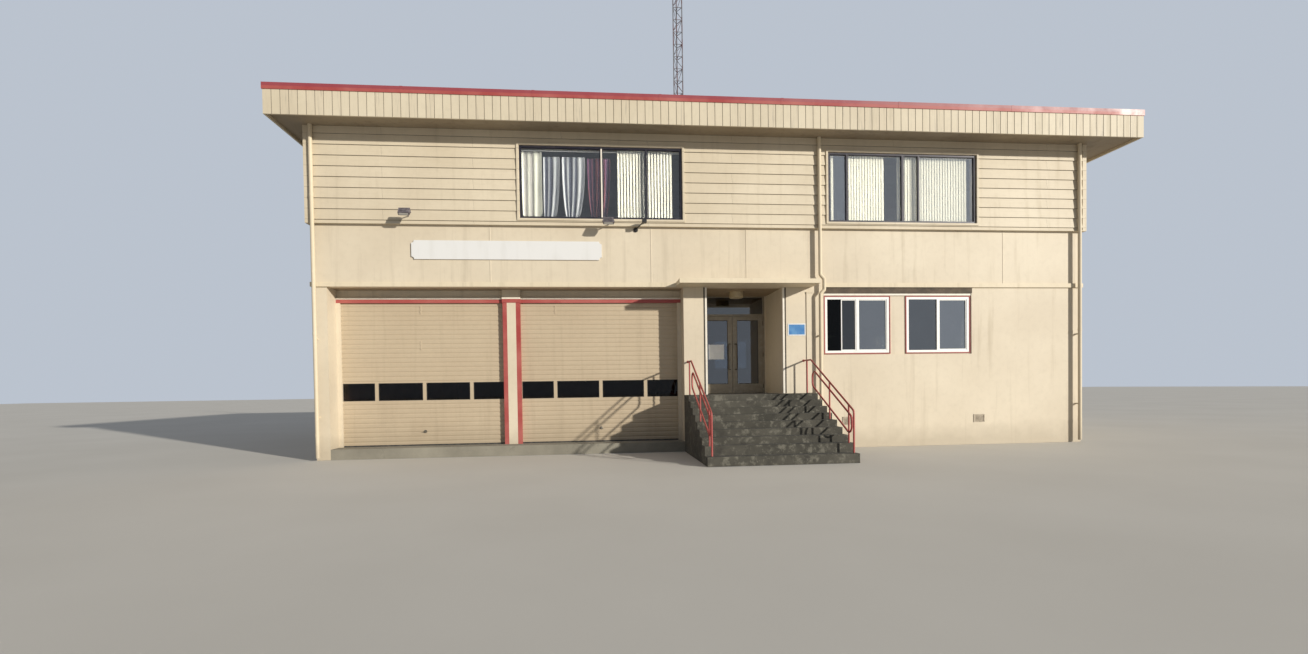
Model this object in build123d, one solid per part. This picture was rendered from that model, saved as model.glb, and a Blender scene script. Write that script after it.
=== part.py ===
from build123d import *
import math
import os

# Two-storey fire station: two truck bays on the left, a raised entry porch with a
# flight of steps in the middle and offices on the right, under a flat roof with eaves.
# Millimetres. While it is drawn, X runs along the front from the left corner of the
# lower walls, Y runs into the building from the front face of the lower walls, and Z
# is the height above the lowest ground point. save() moves it to its own origin.

# Outer walls
WALL_WIDTH = 19940.0
WALL_DEPTH = 15240.0
WALL_THICKNESS = 200.0
STOREY_HEIGHT = 4200.0
UPPER_STOREY_HEIGHT = 3825.0
BELT_HEIGHT = 110.0
BELT_PROUD = 45.0

# Floors
GARAGE_FLOOR_HEIGHT = 255.0
OFFICE_SLAB_THICKNESS = 200.0
UPPER_SLAB_THICKNESS = 300.0

# Smooth band over the ground storey, and the lap siding above it
BAND_HEIGHT = 1510.0
SIDING_PROUD = 100.0
SIDING_LAP = 24.0
SIDING_FIRST_COURSE = 90.0
SIDING_COURSE = 256.0
CORNER_BOARD_WIDTH = 110.0

# Roof
SOFFIT_THICKNESS = 25.0
FASCIA_DROP = 60.0
FASCIA_HEIGHT = 570.0
FASCIA_THICKNESS = 45.0
FASCIA_BOARD = 188.0
FASCIA_GROOVE = 14.0
FASCIA_GROOVE_DEPTH = 8.0
ROOF_EDGE_HEIGHT = 135.0
ROOF_EDGE_THICKNESS = 18.0
ROOF_EDGE_SKIRT = 15.0
ROOF_DECK_THICKNESS = 200.0
ROOF_CROWN = 190.0
OVERHANG_FRONT = 820.0
OVERHANG_BACK = 820.0
OVERHANG_LEFT = 630.0
OVERHANG_RIGHT = 1090.0

# Garage bays
CORNER_PIER_WIDTH = 324.0
PORTAL_WIDTH = 8696.0
BAY_DEPTH = 580.0
BAY_POST_OFFSET = -32.0
BAY_POST_WIDTH = 440.0
BAY_POST_TRIM = 108.0
BAY_POST_PROUD = 130.0
BAY_JAMB = 92.0
BAY_HEAD_DROP = 325.0
BAY_HEAD_TRIM = 95.0
BAY_TRIM_DEPTH = 60.0
DOOR_THICKNESS = 50.0
DOOR_RIB_PITCH = 114.0
DOOR_RIB_DEPTH = 9.0
DOOR_RIB_SHARES = (0.18, 0.72, 0.9)
DOOR_SIDE_COVER = 25.0
LITE_BOTTOM = 1412.0
LITE_HEIGHT = 446.0
LITE_PITCH = 1175.0
LITE_MULLION = 88.0
LITE_RIM = 40.0
LITE_END_INSET = 33.0
PANE_THICKNESS = 8.0

# Porch and entry
PORCH_PIER_WIDTH = 600.0
PORCH_WIDTH = 2000.0
PORCH_DEPTH = 1620.0
ENTRY_OFFSET = 35.0
LEAF_WIDTH = 875.0
LEAF_HEIGHT = 2165.0
LEAF_THICKNESS = 45.0
LEAF_STILE = 130.0
LEAF_TOP_RAIL = 100.0
LEAF_BOTTOM_RAIL = 260.0
LEAF_GAP = 8.0
MEETING_GAP = 10.0
SILL_CLEARANCE = 12.0
ENTRY_JAMB = 50.0
ENTRY_FRAME_DEPTH = 110.0
ENTRY_SETBACK = 20.0
ENTRY_HEAD = 25.0
TRANSOM_BAR = 62.0
STOP_DEPTH = 14.0
STOP_CLEARANCE = 7.0
HINGE_RADIUS = 8.0
HINGE_LENGTH = 120.0
HINGE_INSET = 192.0
HINGE_PLATE = 3.0
HINGE_PLATE_WIDTH = 32.0
HINGE_SPLIT = 0.4
PULL_LENGTH = 720.0
PULL_HEIGHT = 1030.0
PULL_REACH = 62.0
PULL_OFFSET = 56.0
PULL_RADIUS = 12.0
PULL_BEND = 20.0
CANOPY_REACH = 700.0
CANOPY_LEFT = 190.0
CANOPY_RIGHT = 760.0
LIGHT_RADIUS = 190.0
LIGHT_DROP = 165.0
LIGHT_SETBACK = 800.0
LIGHT_OFFSET = 40.0
LIGHT_ROUND = 30.0

# Landing, steps and railings
LANDING_REACH = 720.0
STAIR_WIDTH = 3260.0
STAIR_LEFT_REACH = 10.0
STEP_GOING = 305.0
STEP_RISER = 150.0
STEP_RISER_LOW = 200.0
UPPER_STEP_COUNT = 7
LOW_STEP_COUNT = 2
RAIL_INSET = 105.0
RAIL_RADIUS = 21.0
RAIL_POST_RADIUS = 19.0
RAIL_HEIGHT = 845.0
RAIL_HEIGHT_LOW = 905.0
RAIL_LEVEL_REACH = 530.0
RAIL_SECOND_DROP = 175.0
RAIL_THIRD_DROP = 600.0
RAIL_END_INSET = 60.0
RAIL_BEND = 90.0
RAIL_LOOP_BEND = 145.0
RAIL_POST_SETBACKS = (250.0, 1760.0, 2840.0)

# Windows
UPPER_WINDOW_WIDTH = 4050.0
UPPER_SILL_RISE = 165.0
UPPER_HEAD_DROP = 350.0
UPPER_FRAME_RIM = 48.0
UPPER_FRAME_DEPTH = 90.0
UPPER_FRAME_REVEAL = 25.0
UPPER_MULLION = 60.0
UPPER_STILE = 42.0
UPPER_WINDOW_LEFT = 6985.0
UPPER_WINDOW_RIGHT_OFFSET = 3240.0
FRONT_UPPER_STILES = ((1124.0,), (-1518.0, 437.0))
OTHER_UPPER_STILES = (-1012.0, 1012.0)
SIDE_UPPER_CENTER = 7600.0
LOWER_WINDOW_WIDTH = 1750.0
LOWER_WINDOW_HEIGHT = 1465.0
LOWER_HEAD_DROP = 247.0
LOWER_FRAME_RIM = 60.0
LOWER_FRAME_DEPTH = 80.0
LOWER_MULLION = 55.0
LOWER_WINDOW_OFFSETS = (2020.0, 4255.0)
SIDE_LOWER_CENTERS = (4300.0, 10900.0)
WINDOW_PANEL_MARGIN = 50.0
WINDOW_PANEL_TOP = 140.0
WINDOW_PANEL_DEPTH = 50.0
LOWER_FRAME_PROUD = 15.0

# Blinds and curtains behind the front upper windows
BLIND_HEADRAIL = 45.0
BLIND_THICKNESS = 6.0
BLIND_VANE = 76.0
BLIND_LEAN = 22.0
BLIND_SETBACK = 45.0
LEFT_BLINDS = ((400.0, 1790.0),)
RIGHT_BLINDS = ((-2000.0, -1830.0), (-1500.0, -455.0), (-105.0, 1850.0))
CURTAIN_THICKNESS = 60.0
CURTAIN_ROD_RADIUS = 14.0
CURTAIN_ROD_DROP = 60.0
CURTAIN_SETBACK = 110.0
SILL_GAP = 80.0
CURTAIN_SPANS = ((-1985.0, -1475.0), (-1455.0, -400.0), (-360.0, 230.0))
SOFT_CLEARANCE = 0.3

# Downpipes
PIPE_RADIUS = 47.0
PIPE_STANDOFF = 150.0
PIPE_FOOT = 70.0
PIPE_MIDDLE_OFFSET = 958.0
PIPE_LEFT_INSET = 88.0
PIPE_RIGHT_INSET = 140.0
PIPE_JOG = 100.0
PIPE_JOG_HEIGHT = 280.0
PIPE_JOG_RISE = 110.0
PIPE_BEND = 60.0
PIPE_STRAP = 36.0
PIPE_CLEARANCE = 6.0
STRAP_HEIGHTS = (1050.0, 2940.0)
SIDING_STRAP_RISE = 974.0

# Sign board and wall lights
SIGN_LEFT = 2330.0
SIGN_WIDTH = 4630.0
SIGN_RISE = 672.0
SIGN_HEIGHT = 460.0
SIGN_THICKNESS = 35.0
SIGN_NOTCH = 65.0
LAMP_WIDTH = 262.0
LAMP_HEIGHT = 172.0
LAMP_DEPTH = 120.0
LAMP_REACH = 330.0
LAMP_ARM_RADIUS = 13.0
LAMP_TILT = 35.0
LAMP_CHAMFER = 42.0
LAMP_PLACES = ((2300.0, 190.0), (7130.0, 28.0))
SENSOR_WIDTH = 110.0
SENSOR_DEPTH = 165.0
SENSOR_HEIGHT = 88.0
SENSOR_REACH = 220.0
SENSOR_PLACE = (8020.0, 75.0)

# Radio mast on the roof
MAST_X = 9930.0
MAST_RIDGE_SETBACK = 865.0
MAST_HEIGHT = 7665.0
MAST_FACE = 320.0
MAST_LEG = 34.0
MAST_BAR = 14.0
MAST_PANEL = 430.0
MAST_BASE_SIZE = 620.0
MAST_BASE_THICKNESS = 60.0

# Levels and places that follow from the sizes above
SIDING_BOTTOM = STOREY_HEIGHT + BAND_HEIGHT
SOFFIT_HEIGHT = STOREY_HEIGHT + UPPER_STOREY_HEIGHT
UPPER_WINDOW_SILL = SIDING_BOTTOM + UPPER_SILL_RISE
UPPER_WINDOW_HEAD = SOFFIT_HEIGHT - UPPER_HEAD_DROP
UPPER_WINDOW_HEIGHT = UPPER_WINDOW_HEAD - UPPER_WINDOW_SILL
LOWER_WINDOW_SILL = STOREY_HEIGHT - LOWER_HEAD_DROP - LOWER_WINDOW_HEIGHT
BAY_HEAD = STOREY_HEIGHT - BAY_HEAD_DROP
BAY_POST_CENTER = CORNER_PIER_WIDTH + PORTAL_WIDTH / 2 + BAY_POST_OFFSET
LANDING_TOP = UPPER_STEP_COUNT * STEP_RISER + LOW_STEP_COUNT * STEP_RISER_LOW
STEP_COUNT = UPPER_STEP_COUNT + LOW_STEP_COUNT - 1
DECK_TOP = SOFFIT_HEIGHT - FASCIA_DROP + FASCIA_HEIGHT
DECK_BOTTOM = DECK_TOP - ROOF_DECK_THICKNESS
MAST_TOP = DECK_TOP + MAST_HEIGHT
PORTAL_RIGHT = CORNER_PIER_WIDTH + PORTAL_WIDTH
PORCH_LEFT = PORTAL_RIGHT + PORCH_PIER_WIDTH
PORCH_RIGHT = PORCH_LEFT + PORCH_WIDTH
STAIR_LEFT = PORTAL_RIGHT - STAIR_LEFT_REACH
PIPE_MIDDLE_X = PORCH_RIGHT + PIPE_MIDDLE_OFFSET
FRONT_UPPER_CENTERS = (UPPER_WINDOW_LEFT, PORCH_RIGHT + UPPER_WINDOW_RIGHT_OFFSET)
FRONT_LOWER_CENTERS = tuple(PORCH_RIGHT + offset for offset in LOWER_WINDOW_OFFSETS)
BAY_BACK = BAY_DEPTH + WALL_THICKNESS
PORCH_BACK = PORCH_DEPTH + WALL_THICKNESS
INNER_RIGHT = WALL_WIDTH - WALL_THICKNESS
INNER_BACK = WALL_DEPTH - WALL_THICKNESS
SIDE_WALL_X = PORCH_LEFT - WALL_THICKNESS
ENTRY_CENTER = PORCH_LEFT + PORCH_WIDTH / 2 + ENTRY_OFFSET
ENTRY_HALF = LEAF_WIDTH + MEETING_GAP / 2 + LEAF_GAP
FRAME_LEFT = ENTRY_CENTER - ENTRY_HALF - ENTRY_JAMB
FRAME_RIGHT = ENTRY_CENTER + ENTRY_HALF + ENTRY_JAMB
FRAME_FACE = PORCH_DEPTH + ENTRY_SETBACK
LEAF_BOTTOM = LANDING_TOP + SILL_CLEARANCE
LEAF_TOP = LEAF_BOTTOM + LEAF_HEIGHT
BAR_BOTTOM = LEAF_TOP + LEAF_GAP
BAR_TOP = BAR_BOTTOM + TRANSOM_BAR
HINGE_Y = FRAME_FACE - HINGE_RADIUS
STAIR_FOOT = LANDING_REACH + STEP_COUNT * STEP_GOING
ROOF_LEFT = -OVERHANG_LEFT
ROOF_RIGHT = WALL_WIDTH + OVERHANG_RIGHT
ROOF_FRONT = -OVERHANG_FRONT
ROOF_BACK = WALL_DEPTH + OVERHANG_BACK
RIDGE_Y = (ROOF_FRONT + ROOF_BACK) / 2
MAST_Y = RIDGE_Y - MAST_RIDGE_SETBACK
ORIGIN_X = (ROOF_LEFT + ROOF_RIGHT) / 2
ORIGIN_Y = (ROOF_BACK + ROOF_EDGE_THICKNESS - STAIR_FOOT) / 2

os.makedirs("parts", exist_ok=True)


def save(name, *solids):
    """Writes one node, moved to the middle of the footprint at ground level."""
    moved = [Pos(-ORIGIN_X, -ORIGIN_Y, 0) * solid for solid in solids]
    shape = moved[0] if len(moved) == 1 else Compound(children=moved)
    export_step(shape, f"parts/{name}.step")


def block(x0, x1, y0, y1, z0, z1):
    """A box between two corners."""
    box = Box(x1 - x0, y1 - y0, z1 - z0)
    return Pos((x0 + x1) / 2, (y0 + y1) / 2, (z0 + z1) / 2) * box


def prism_along_x(points, x0, x1):
    """A profile of (y, z) points drawn out from x0 to x1."""
    wire = Polyline([(x0, y, z) for y, z in points], close=True)
    return extrude(make_face(wire), amount=x1 - x0, dir=(1, 0, 0))


def prism_along_z(points, z0, z1):
    """An outline of (x, y) points drawn up from z0 to z1."""
    wire = Polyline([(x, y, z0) for x, y in points], close=True)
    return extrude(make_face(wire), amount=z1 - z0, dir=(0, 0, 1))


def upright(x, y, z0, z1, radius):
    """A round post between two heights."""
    return Pos(x, y, (z0 + z1) / 2) * Cylinder(radius, z1 - z0)


def on_wall(wall, along, height):
    """The place of a piece on a wall: x to the right as seen from outside, y inward."""
    turns = {"front": 0, "back": 180, "left": -90, "right": 90}
    spots = {
        "front": (along, 0),
        "back": (along, WALL_DEPTH),
        "left": (0, along),
        "right": (WALL_WIDTH, along),
    }
    return Pos(spots[wall][0], spots[wall][1], height) * Rot(0, 0, turns[wall])


# Windows: where each one stands
UPPER_WINDOWS = [("front", x) for x in FRONT_UPPER_CENTERS]
UPPER_WINDOWS += [("back", x) for x in FRONT_UPPER_CENTERS]
UPPER_WINDOWS += [("left", SIDE_UPPER_CENTER), ("right", SIDE_UPPER_CENTER)]
LOWER_WINDOWS = [("front", x) for x in FRONT_LOWER_CENTERS]
LOWER_WINDOWS += [("back", x) for x in FRONT_LOWER_CENTERS]
LOWER_WINDOWS += [("right", y) for y in SIDE_LOWER_CENTERS]


def window_holes(wall):
    """The holes of one wall's windows, right through wall and siding."""
    reach = 2 * (WALL_THICKNESS + SIDING_PROUD)
    holes = []
    for name, along in UPPER_WINDOWS:
        if name == wall:
            middle = UPPER_WINDOW_SILL + UPPER_WINDOW_HEIGHT / 2
            cut = Box(UPPER_WINDOW_WIDTH, reach, UPPER_WINDOW_HEIGHT)
            holes.append(on_wall(wall, along, middle) * cut)
    for name, along in LOWER_WINDOWS:
        if name == wall:
            middle = LOWER_WINDOW_SILL + LOWER_WINDOW_HEIGHT / 2
            cut = Box(LOWER_WINDOW_WIDTH, reach, LOWER_WINDOW_HEIGHT)
            holes.append(on_wall(wall, along, middle) * cut)
    return holes


def floors():
    """The bay slab at the ground, the office slab at the landing's height, the upper floor."""
    bay = block(WALL_THICKNESS, SIDE_WALL_X, BAY_BACK, INNER_BACK, 0, GARAGE_FLOOR_HEIGHT)
    apron = block(CORNER_PIER_WIDTH, PORTAL_RIGHT, 0, BAY_BACK, 0, GARAGE_FLOOR_HEIGHT)
    save("garage_floor", bay + apron)

    under = LANDING_TOP - OFFICE_SLAB_THICKNESS
    slab = block(PORCH_LEFT, INNER_RIGHT, PORCH_BACK, INNER_BACK, under, LANDING_TOP)
    front_x = PORCH_RIGHT + WALL_THICKNESS
    slab += block(front_x, INNER_RIGHT, WALL_THICKNESS, PORCH_BACK, under, LANDING_TOP)
    stem = block(SIDE_WALL_X, PORCH_LEFT, PORCH_BACK, INNER_BACK, 0, LANDING_TOP)
    save("office_floor", slab + stem)

    top = STOREY_HEIGHT + UPPER_SLAB_THICKNESS
    upper = block(WALL_THICKNESS, INNER_RIGHT, WALL_THICKNESS, INNER_BACK, STOREY_HEIGHT, top)
    save("upper_floor", upper)


def side_and_back_walls():
    """The walls that aren't seen in full repeat the front's windows and height."""
    left = block(0, WALL_THICKNESS, BAY_BACK, INNER_BACK, 0, STOREY_HEIGHT)
    left += block(0, WALL_THICKNESS, WALL_THICKNESS, INNER_BACK, STOREY_HEIGHT, DECK_BOTTOM)
    for hole in window_holes("left"):
        left -= hole
    save("left_wall", left)

    right = block(INNER_RIGHT, WALL_WIDTH, WALL_THICKNESS, INNER_BACK, 0, DECK_BOTTOM)
    for hole in window_holes("right"):
        right -= hole
    save("right_wall", right)

    back = block(0, WALL_WIDTH, INNER_BACK, WALL_DEPTH, 0, DECK_BOTTOM)
    for hole in window_holes("back"):
        back -= hole
    save("back_wall", back)


def front_walls():
    """The upper front wall, the bay portal, the porch's two sides and the office front."""
    upper = block(0, WALL_WIDTH, 0, WALL_THICKNESS, STOREY_HEIGHT, DECK_BOTTOM)
    for hole in window_holes("front"):
        upper -= hole
    save("upper_front_wall", upper)

    portal = block(0, CORNER_PIER_WIDTH, 0, BAY_BACK, 0, STOREY_HEIGHT)
    lintel_bottom = BAY_HEAD + BAY_HEAD_TRIM
    jamb_front = BAY_DEPTH - BAY_TRIM_DEPTH
    jamb_right = CORNER_PIER_WIDTH + BAY_JAMB
    portal += block(CORNER_PIER_WIDTH, jamb_right, jamb_front, BAY_DEPTH, GARAGE_FLOOR_HEIGHT, BAY_HEAD)
    portal += block(CORNER_PIER_WIDTH, PORTAL_RIGHT, BAY_DEPTH, BAY_BACK, lintel_bottom, STOREY_HEIGHT)

    post_left = BAY_POST_CENTER - BAY_POST_WIDTH / 2 + BAY_POST_TRIM
    post_right = BAY_POST_CENTER + BAY_POST_WIDTH / 2 - BAY_POST_TRIM
    post_front = BAY_DEPTH - BAY_POST_PROUD
    portal += block(post_left, post_right, post_front, BAY_DEPTH, GARAGE_FLOOR_HEIGHT, STOREY_HEIGHT)
    portal += block(post_left, post_right, BAY_DEPTH, BAY_BACK, GARAGE_FLOOR_HEIGHT, lintel_bottom)
    save("garage_portal", portal)

    left_pier = block(PORTAL_RIGHT, PORCH_LEFT, 0, BAY_BACK, 0, STOREY_HEIGHT)
    jamb_left = PORTAL_RIGHT - BAY_JAMB
    left_pier += block(jamb_left, PORTAL_RIGHT, jamb_front, BAY_DEPTH, GARAGE_FLOOR_HEIGHT, BAY_HEAD)
    left_pier += block(SIDE_WALL_X, PORCH_LEFT, BAY_BACK, PORCH_BACK, 0, STOREY_HEIGHT)
    left_pier += block(PORCH_LEFT, FRAME_LEFT, PORCH_DEPTH, PORCH_BACK, 0, STOREY_HEIGHT)
    save("porch_left_pier", left_pier)

    right_side = PORCH_RIGHT + WALL_THICKNESS
    porch_wall = block(PORCH_RIGHT, right_side, WALL_THICKNESS, PORCH_BACK, 0, STOREY_HEIGHT)
    porch_wall += block(FRAME_RIGHT, PORCH_RIGHT, PORCH_DEPTH, PORCH_BACK, 0, STOREY_HEIGHT)
    save("porch_right_wall", porch_wall)

    front = block(PORCH_RIGHT, WALL_WIDTH, 0, WALL_THICKNESS, 0, STOREY_HEIGHT)
    half = LOWER_WINDOW_WIDTH / 2 + WINDOW_PANEL_MARGIN
    panel_left = FRONT_LOWER_CENTERS[0] - half
    panel_right = FRONT_LOWER_CENTERS[-1] + half
    panel_bottom = LOWER_WINDOW_SILL - WINDOW_PANEL_MARGIN
    panel_top = LOWER_WINDOW_SILL + LOWER_WINDOW_HEIGHT + WINDOW_PANEL_TOP
    front -= block(panel_left, panel_right, -1, WINDOW_PANEL_DEPTH, panel_bottom, panel_top)
    for hole in window_holes("front"):
        front -= hole
    save("front_right_wall", front)


def siding_profile():
    """The overlapping boards in section, as (out, height) points from the wall face."""
    top = SOFFIT_HEIGHT
    points = [(0, SIDING_BOTTOM), (SIDING_PROUD, SIDING_BOTTOM)]
    height = SIDING_BOTTOM + SIDING_FIRST_COURSE
    while height < top:
        points += [(SIDING_PROUD - SIDING_LAP, height), (SIDING_PROUD, height)]
        height += SIDING_COURSE
    last = points[-1][1]
    share = (top - last) / SIDING_COURSE
    points += [(SIDING_PROUD - SIDING_LAP * share, top), (0, top)]
    return points


def siding_reach(z0, z1):
    """The furthest that the siding stands out from the wall between two heights."""
    low = SIDING_BOTTOM
    high = SIDING_BOTTOM + SIDING_FIRST_COURSE
    while high <= z0:
        low = high
        high += SIDING_COURSE
    if high < z1:
        return SIDING_PROUD
    return SIDING_PROUD - SIDING_LAP * (z0 - low) / (high - low)


def siding():
    """Lap boards round the upper storey, with a corner board at each end of front and back."""
    profile = [(-out, z) for out, z in siding_profile()]
    end = WALL_WIDTH / 2 + SIDING_PROUD
    inner = end - CORNER_BOARD_WIDTH
    long_run = prism_along_x(profile, -inner, inner)
    long_run += block(-end, -inner, -SIDING_PROUD, 0, SIDING_BOTTOM, SOFFIT_HEIGHT)
    long_run += block(inner, end, -SIDING_PROUD, 0, SIDING_BOTTOM, SOFFIT_HEIGHT)
    short_run = prism_along_x(profile, -WALL_DEPTH / 2, WALL_DEPTH / 2)
    runs = {
        "front": (WALL_WIDTH / 2, long_run),
        "back": (WALL_WIDTH / 2, long_run),
        "left": (WALL_DEPTH / 2, short_run),
        "right": (WALL_DEPTH / 2, short_run),
    }
    skins = []
    for wall, (middle, run) in runs.items():
        skin = on_wall(wall, middle, 0) * run
        for hole in window_holes(wall):
            skin -= hole
        skins.append(skin)
    save("lap_siding", skins[0].fuse(*skins[1:]))


def belt_course():
    """The flat band round the building between the storeys, open over the porch canopy."""
    z0 = STOREY_HEIGHT
    z1 = STOREY_HEIGHT + BELT_HEIGHT
    out = BELT_PROUD
    ring = block(-out, WALL_WIDTH + out, -out, WALL_DEPTH + out, z0, z1)
    ring -= block(0, WALL_WIDTH, 0, WALL_DEPTH, z0 - 1, z1 + 1)
    canopy_left = PORTAL_RIGHT - CANOPY_LEFT
    canopy_right = PORCH_RIGHT + CANOPY_RIGHT
    ring -= block(canopy_left, canopy_right, -out - 1, 1, z0 - 1, z1 + 1)
    pipe_right = PIPE_MIDDLE_X + PIPE_JOG + PIPE_RADIUS + PIPE_CLEARANCE
    ring -= block(canopy_right, pipe_right, -out - 1, 1, z0 - 1, z1 + 1)
    save("belt_course", ring)


def roof():
    span = ROOF_BACK - ROOF_FRONT
    inset = FASCIA_THICKNESS
    deck_points = [
        (ROOF_FRONT + inset, DECK_BOTTOM),
        (ROOF_BACK - inset, DECK_BOTTOM),
        (ROOF_BACK - inset, DECK_TOP),
        (RIDGE_Y, DECK_TOP + ROOF_CROWN),
        (ROOF_FRONT + inset, DECK_TOP),
    ]
    save("roof_deck", prism_along_x(deck_points, ROOF_LEFT + inset, ROOF_RIGHT - inset))

    z1 = SOFFIT_HEIGHT + SOFFIT_THICKNESS
    soffit = block(ROOF_LEFT + inset, ROOF_RIGHT - inset, ROOF_FRONT + inset, ROOF_BACK - inset,
                   SOFFIT_HEIGHT, z1)
    soffit -= block(0, WALL_WIDTH, 0, WALL_DEPTH, SOFFIT_HEIGHT - 1, z1 + 1)
    save("roof_soffit", soffit)

    center_x = (ROOF_LEFT + ROOF_RIGHT) / 2
    long_run = fascia_run(ROOF_RIGHT - ROOF_LEFT)
    short_run = fascia_run(span)
    fascia = Pos(center_x, ROOF_FRONT, 0) * long_run
    fascia += Pos(center_x, ROOF_BACK, 0) * Rot(0, 0, 180) * long_run
    fascia += Pos(ROOF_LEFT, RIDGE_Y, 0) * Rot(0, 0, -90) * short_run
    fascia += Pos(ROOF_RIGHT, RIDGE_Y, 0) * Rot(0, 0, 90) * short_run
    save("roof_fascia", fascia)


def fascia_run(length):
    """Upright boards side by side with V grooves between them, mitred at both ends."""
    half = length / 2
    count = round(length / FASCIA_BOARD)
    points = [(-half, 0)]
    for i in range(1, count):
        x = -half + i * length / count
        points += [(x - FASCIA_GROOVE / 2, 0), (x, FASCIA_GROOVE_DEPTH), (x + FASCIA_GROOVE / 2, 0)]
    points += [(half, 0), (half - FASCIA_THICKNESS, FASCIA_THICKNESS)]
    points.append((-half + FASCIA_THICKNESS, FASCIA_THICKNESS))
    return prism_along_z(points, SOFFIT_HEIGHT - FASCIA_DROP, DECK_TOP)


def roof_edge():
    """The sheet metal edge: a skirt over the top of the fascia and a flange on the roof."""
    out = ROOF_EDGE_THICKNESS
    skirt_bottom = DECK_TOP - ROOF_EDGE_SKIRT
    top = DECK_TOP + ROOF_EDGE_HEIGHT
    ring = block(ROOF_LEFT - out, ROOF_RIGHT + out, ROOF_FRONT - out, ROOF_BACK + out,
                 skirt_bottom, top)
    ring -= block(ROOF_LEFT, ROOF_RIGHT, ROOF_FRONT, ROOF_BACK, skirt_bottom - 1, DECK_TOP)
    inner = FASCIA_THICKNESS
    ring -= block(ROOF_LEFT + inner, ROOF_RIGHT - inner, ROOF_FRONT + inner, ROOF_BACK - inner,
                  DECK_TOP - 1, top + 1)
    save("roof_edge", ring)


def garage_door(center, width):
    """One sectional door: ribbed sheet with a row of four lites at eye height."""
    z0 = GARAGE_FLOOR_HEIGHT
    z1 = BAY_HEAD + DOOR_SIDE_COVER
    count = int((z1 - z0) / DOOR_RIB_PITCH)
    pitch = (z1 - z0) / count
    profile = [(DOOR_THICKNESS, z0)]
    rise, crest, foot = [share * pitch for share in DOOR_RIB_SHARES]
    for i in range(count):
        z = z0 + i * pitch
        profile += [(DOOR_RIB_DEPTH, z), (0, z + rise), (0, z + crest), (DOOR_RIB_DEPTH, z + foot)]
    profile += [(DOOR_RIB_DEPTH, z1), (DOOR_THICKNESS, z1)]
    door = prism_along_x(profile, -width / 2, width / 2)
    band = Box(width, DOOR_RIB_DEPTH, LITE_HEIGHT + 2 * LITE_RIM)
    band_z = LITE_BOTTOM + LITE_HEIGHT / 2
    door += Pos(0, DOOR_RIB_DEPTH / 2, band_z) * band
    for x0, x1 in lite_spans(width):
        door -= block(x0, x1, -1, DOOR_THICKNESS + 1, LITE_BOTTOM, LITE_BOTTOM + LITE_HEIGHT)
    return Pos(center, BAY_DEPTH, 0) * door


def lite_spans(width):
    """The four lites of a door: two full ones in the middle, two shorter at the ends."""
    half = LITE_MULLION / 2
    end = width / 2 - LITE_END_INSET
    right = [(half, LITE_PITCH - half), (LITE_PITCH + half, end)]
    left = [(-b, -a) for a, b in right]
    return sorted(left + right)


def garage_bays():
    post_left = BAY_POST_CENTER - BAY_POST_WIDTH / 2
    post_right = BAY_POST_CENTER + BAY_POST_WIDTH / 2
    clear = [
        (CORNER_PIER_WIDTH + BAY_JAMB, post_left),
        (post_right, PORTAL_RIGHT - BAY_JAMB),
    ]
    panes = []
    for name, (x0, x1) in zip(("left", "right"), clear):
        width = x1 - x0 + 2 * DOOR_SIDE_COVER
        center = (x0 + x1) / 2
        save(f"garage_door_{name}", garage_door(center, width))
        y = BAY_DEPTH + DOOR_THICKNESS / 2
        for a, b in lite_spans(width):
            panes.append(block(center + a, center + b, y - PANE_THICKNESS / 2, y + PANE_THICKNESS / 2,
                               LITE_BOTTOM, LITE_BOTTOM + LITE_HEIGHT))
    save("garage_door_glass", *panes)

    z0 = GARAGE_FLOOR_HEIGHT
    head = BAY_HEAD + BAY_HEAD_TRIM
    y0 = BAY_DEPTH - BAY_TRIM_DEPTH
    left_trim = block(CORNER_PIER_WIDTH, post_left, y0, BAY_DEPTH, BAY_HEAD, head)
    right_trim = block(post_right, PORTAL_RIGHT, y0, BAY_DEPTH, BAY_HEAD, head)
    post_front = BAY_DEPTH - BAY_POST_PROUD
    left_trim += block(post_left, post_left + BAY_POST_TRIM, post_front, BAY_DEPTH, z0, STOREY_HEIGHT)
    right_trim += block(post_right - BAY_POST_TRIM, post_right, post_front, BAY_DEPTH, z0, STOREY_HEIGHT)
    save("garage_door_trim", left_trim, right_trim)


def window_frame(width, height, rim, depth, bars):
    """A frame with upright bars at (centre, width); outer face at y 0, sill at z 0."""
    edges = [-width / 2 + rim]
    for center, bar in sorted(bars):
        edges += [center - bar / 2, center + bar / 2]
    edges.append(width / 2 - rim)
    frame = block(-width / 2, width / 2, 0, depth, 0, height)
    panes = []
    for a, b in zip(edges[0::2], edges[1::2]):
        frame -= block(a, b, -1, depth + 1, rim, height - rim)
        y = depth / 2
        panes.append(block(a, b, y - PANE_THICKNESS / 2, y + PANE_THICKNESS / 2, rim, height - rim))
    return frame, panes


def upper_window(stiles):
    """A wide sliding window: a mullion in the middle and sash stiles where they are slid to."""
    bars = [(0, UPPER_MULLION)] + [(x, UPPER_STILE) for x in stiles]
    return window_frame(UPPER_WINDOW_WIDTH, UPPER_WINDOW_HEIGHT, UPPER_FRAME_RIM, UPPER_FRAME_DEPTH, bars)


def lower_window():
    return window_frame(LOWER_WINDOW_WIDTH, LOWER_WINDOW_HEIGHT, LOWER_FRAME_RIM, LOWER_FRAME_DEPTH,
                        [(0, LOWER_MULLION)])


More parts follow.
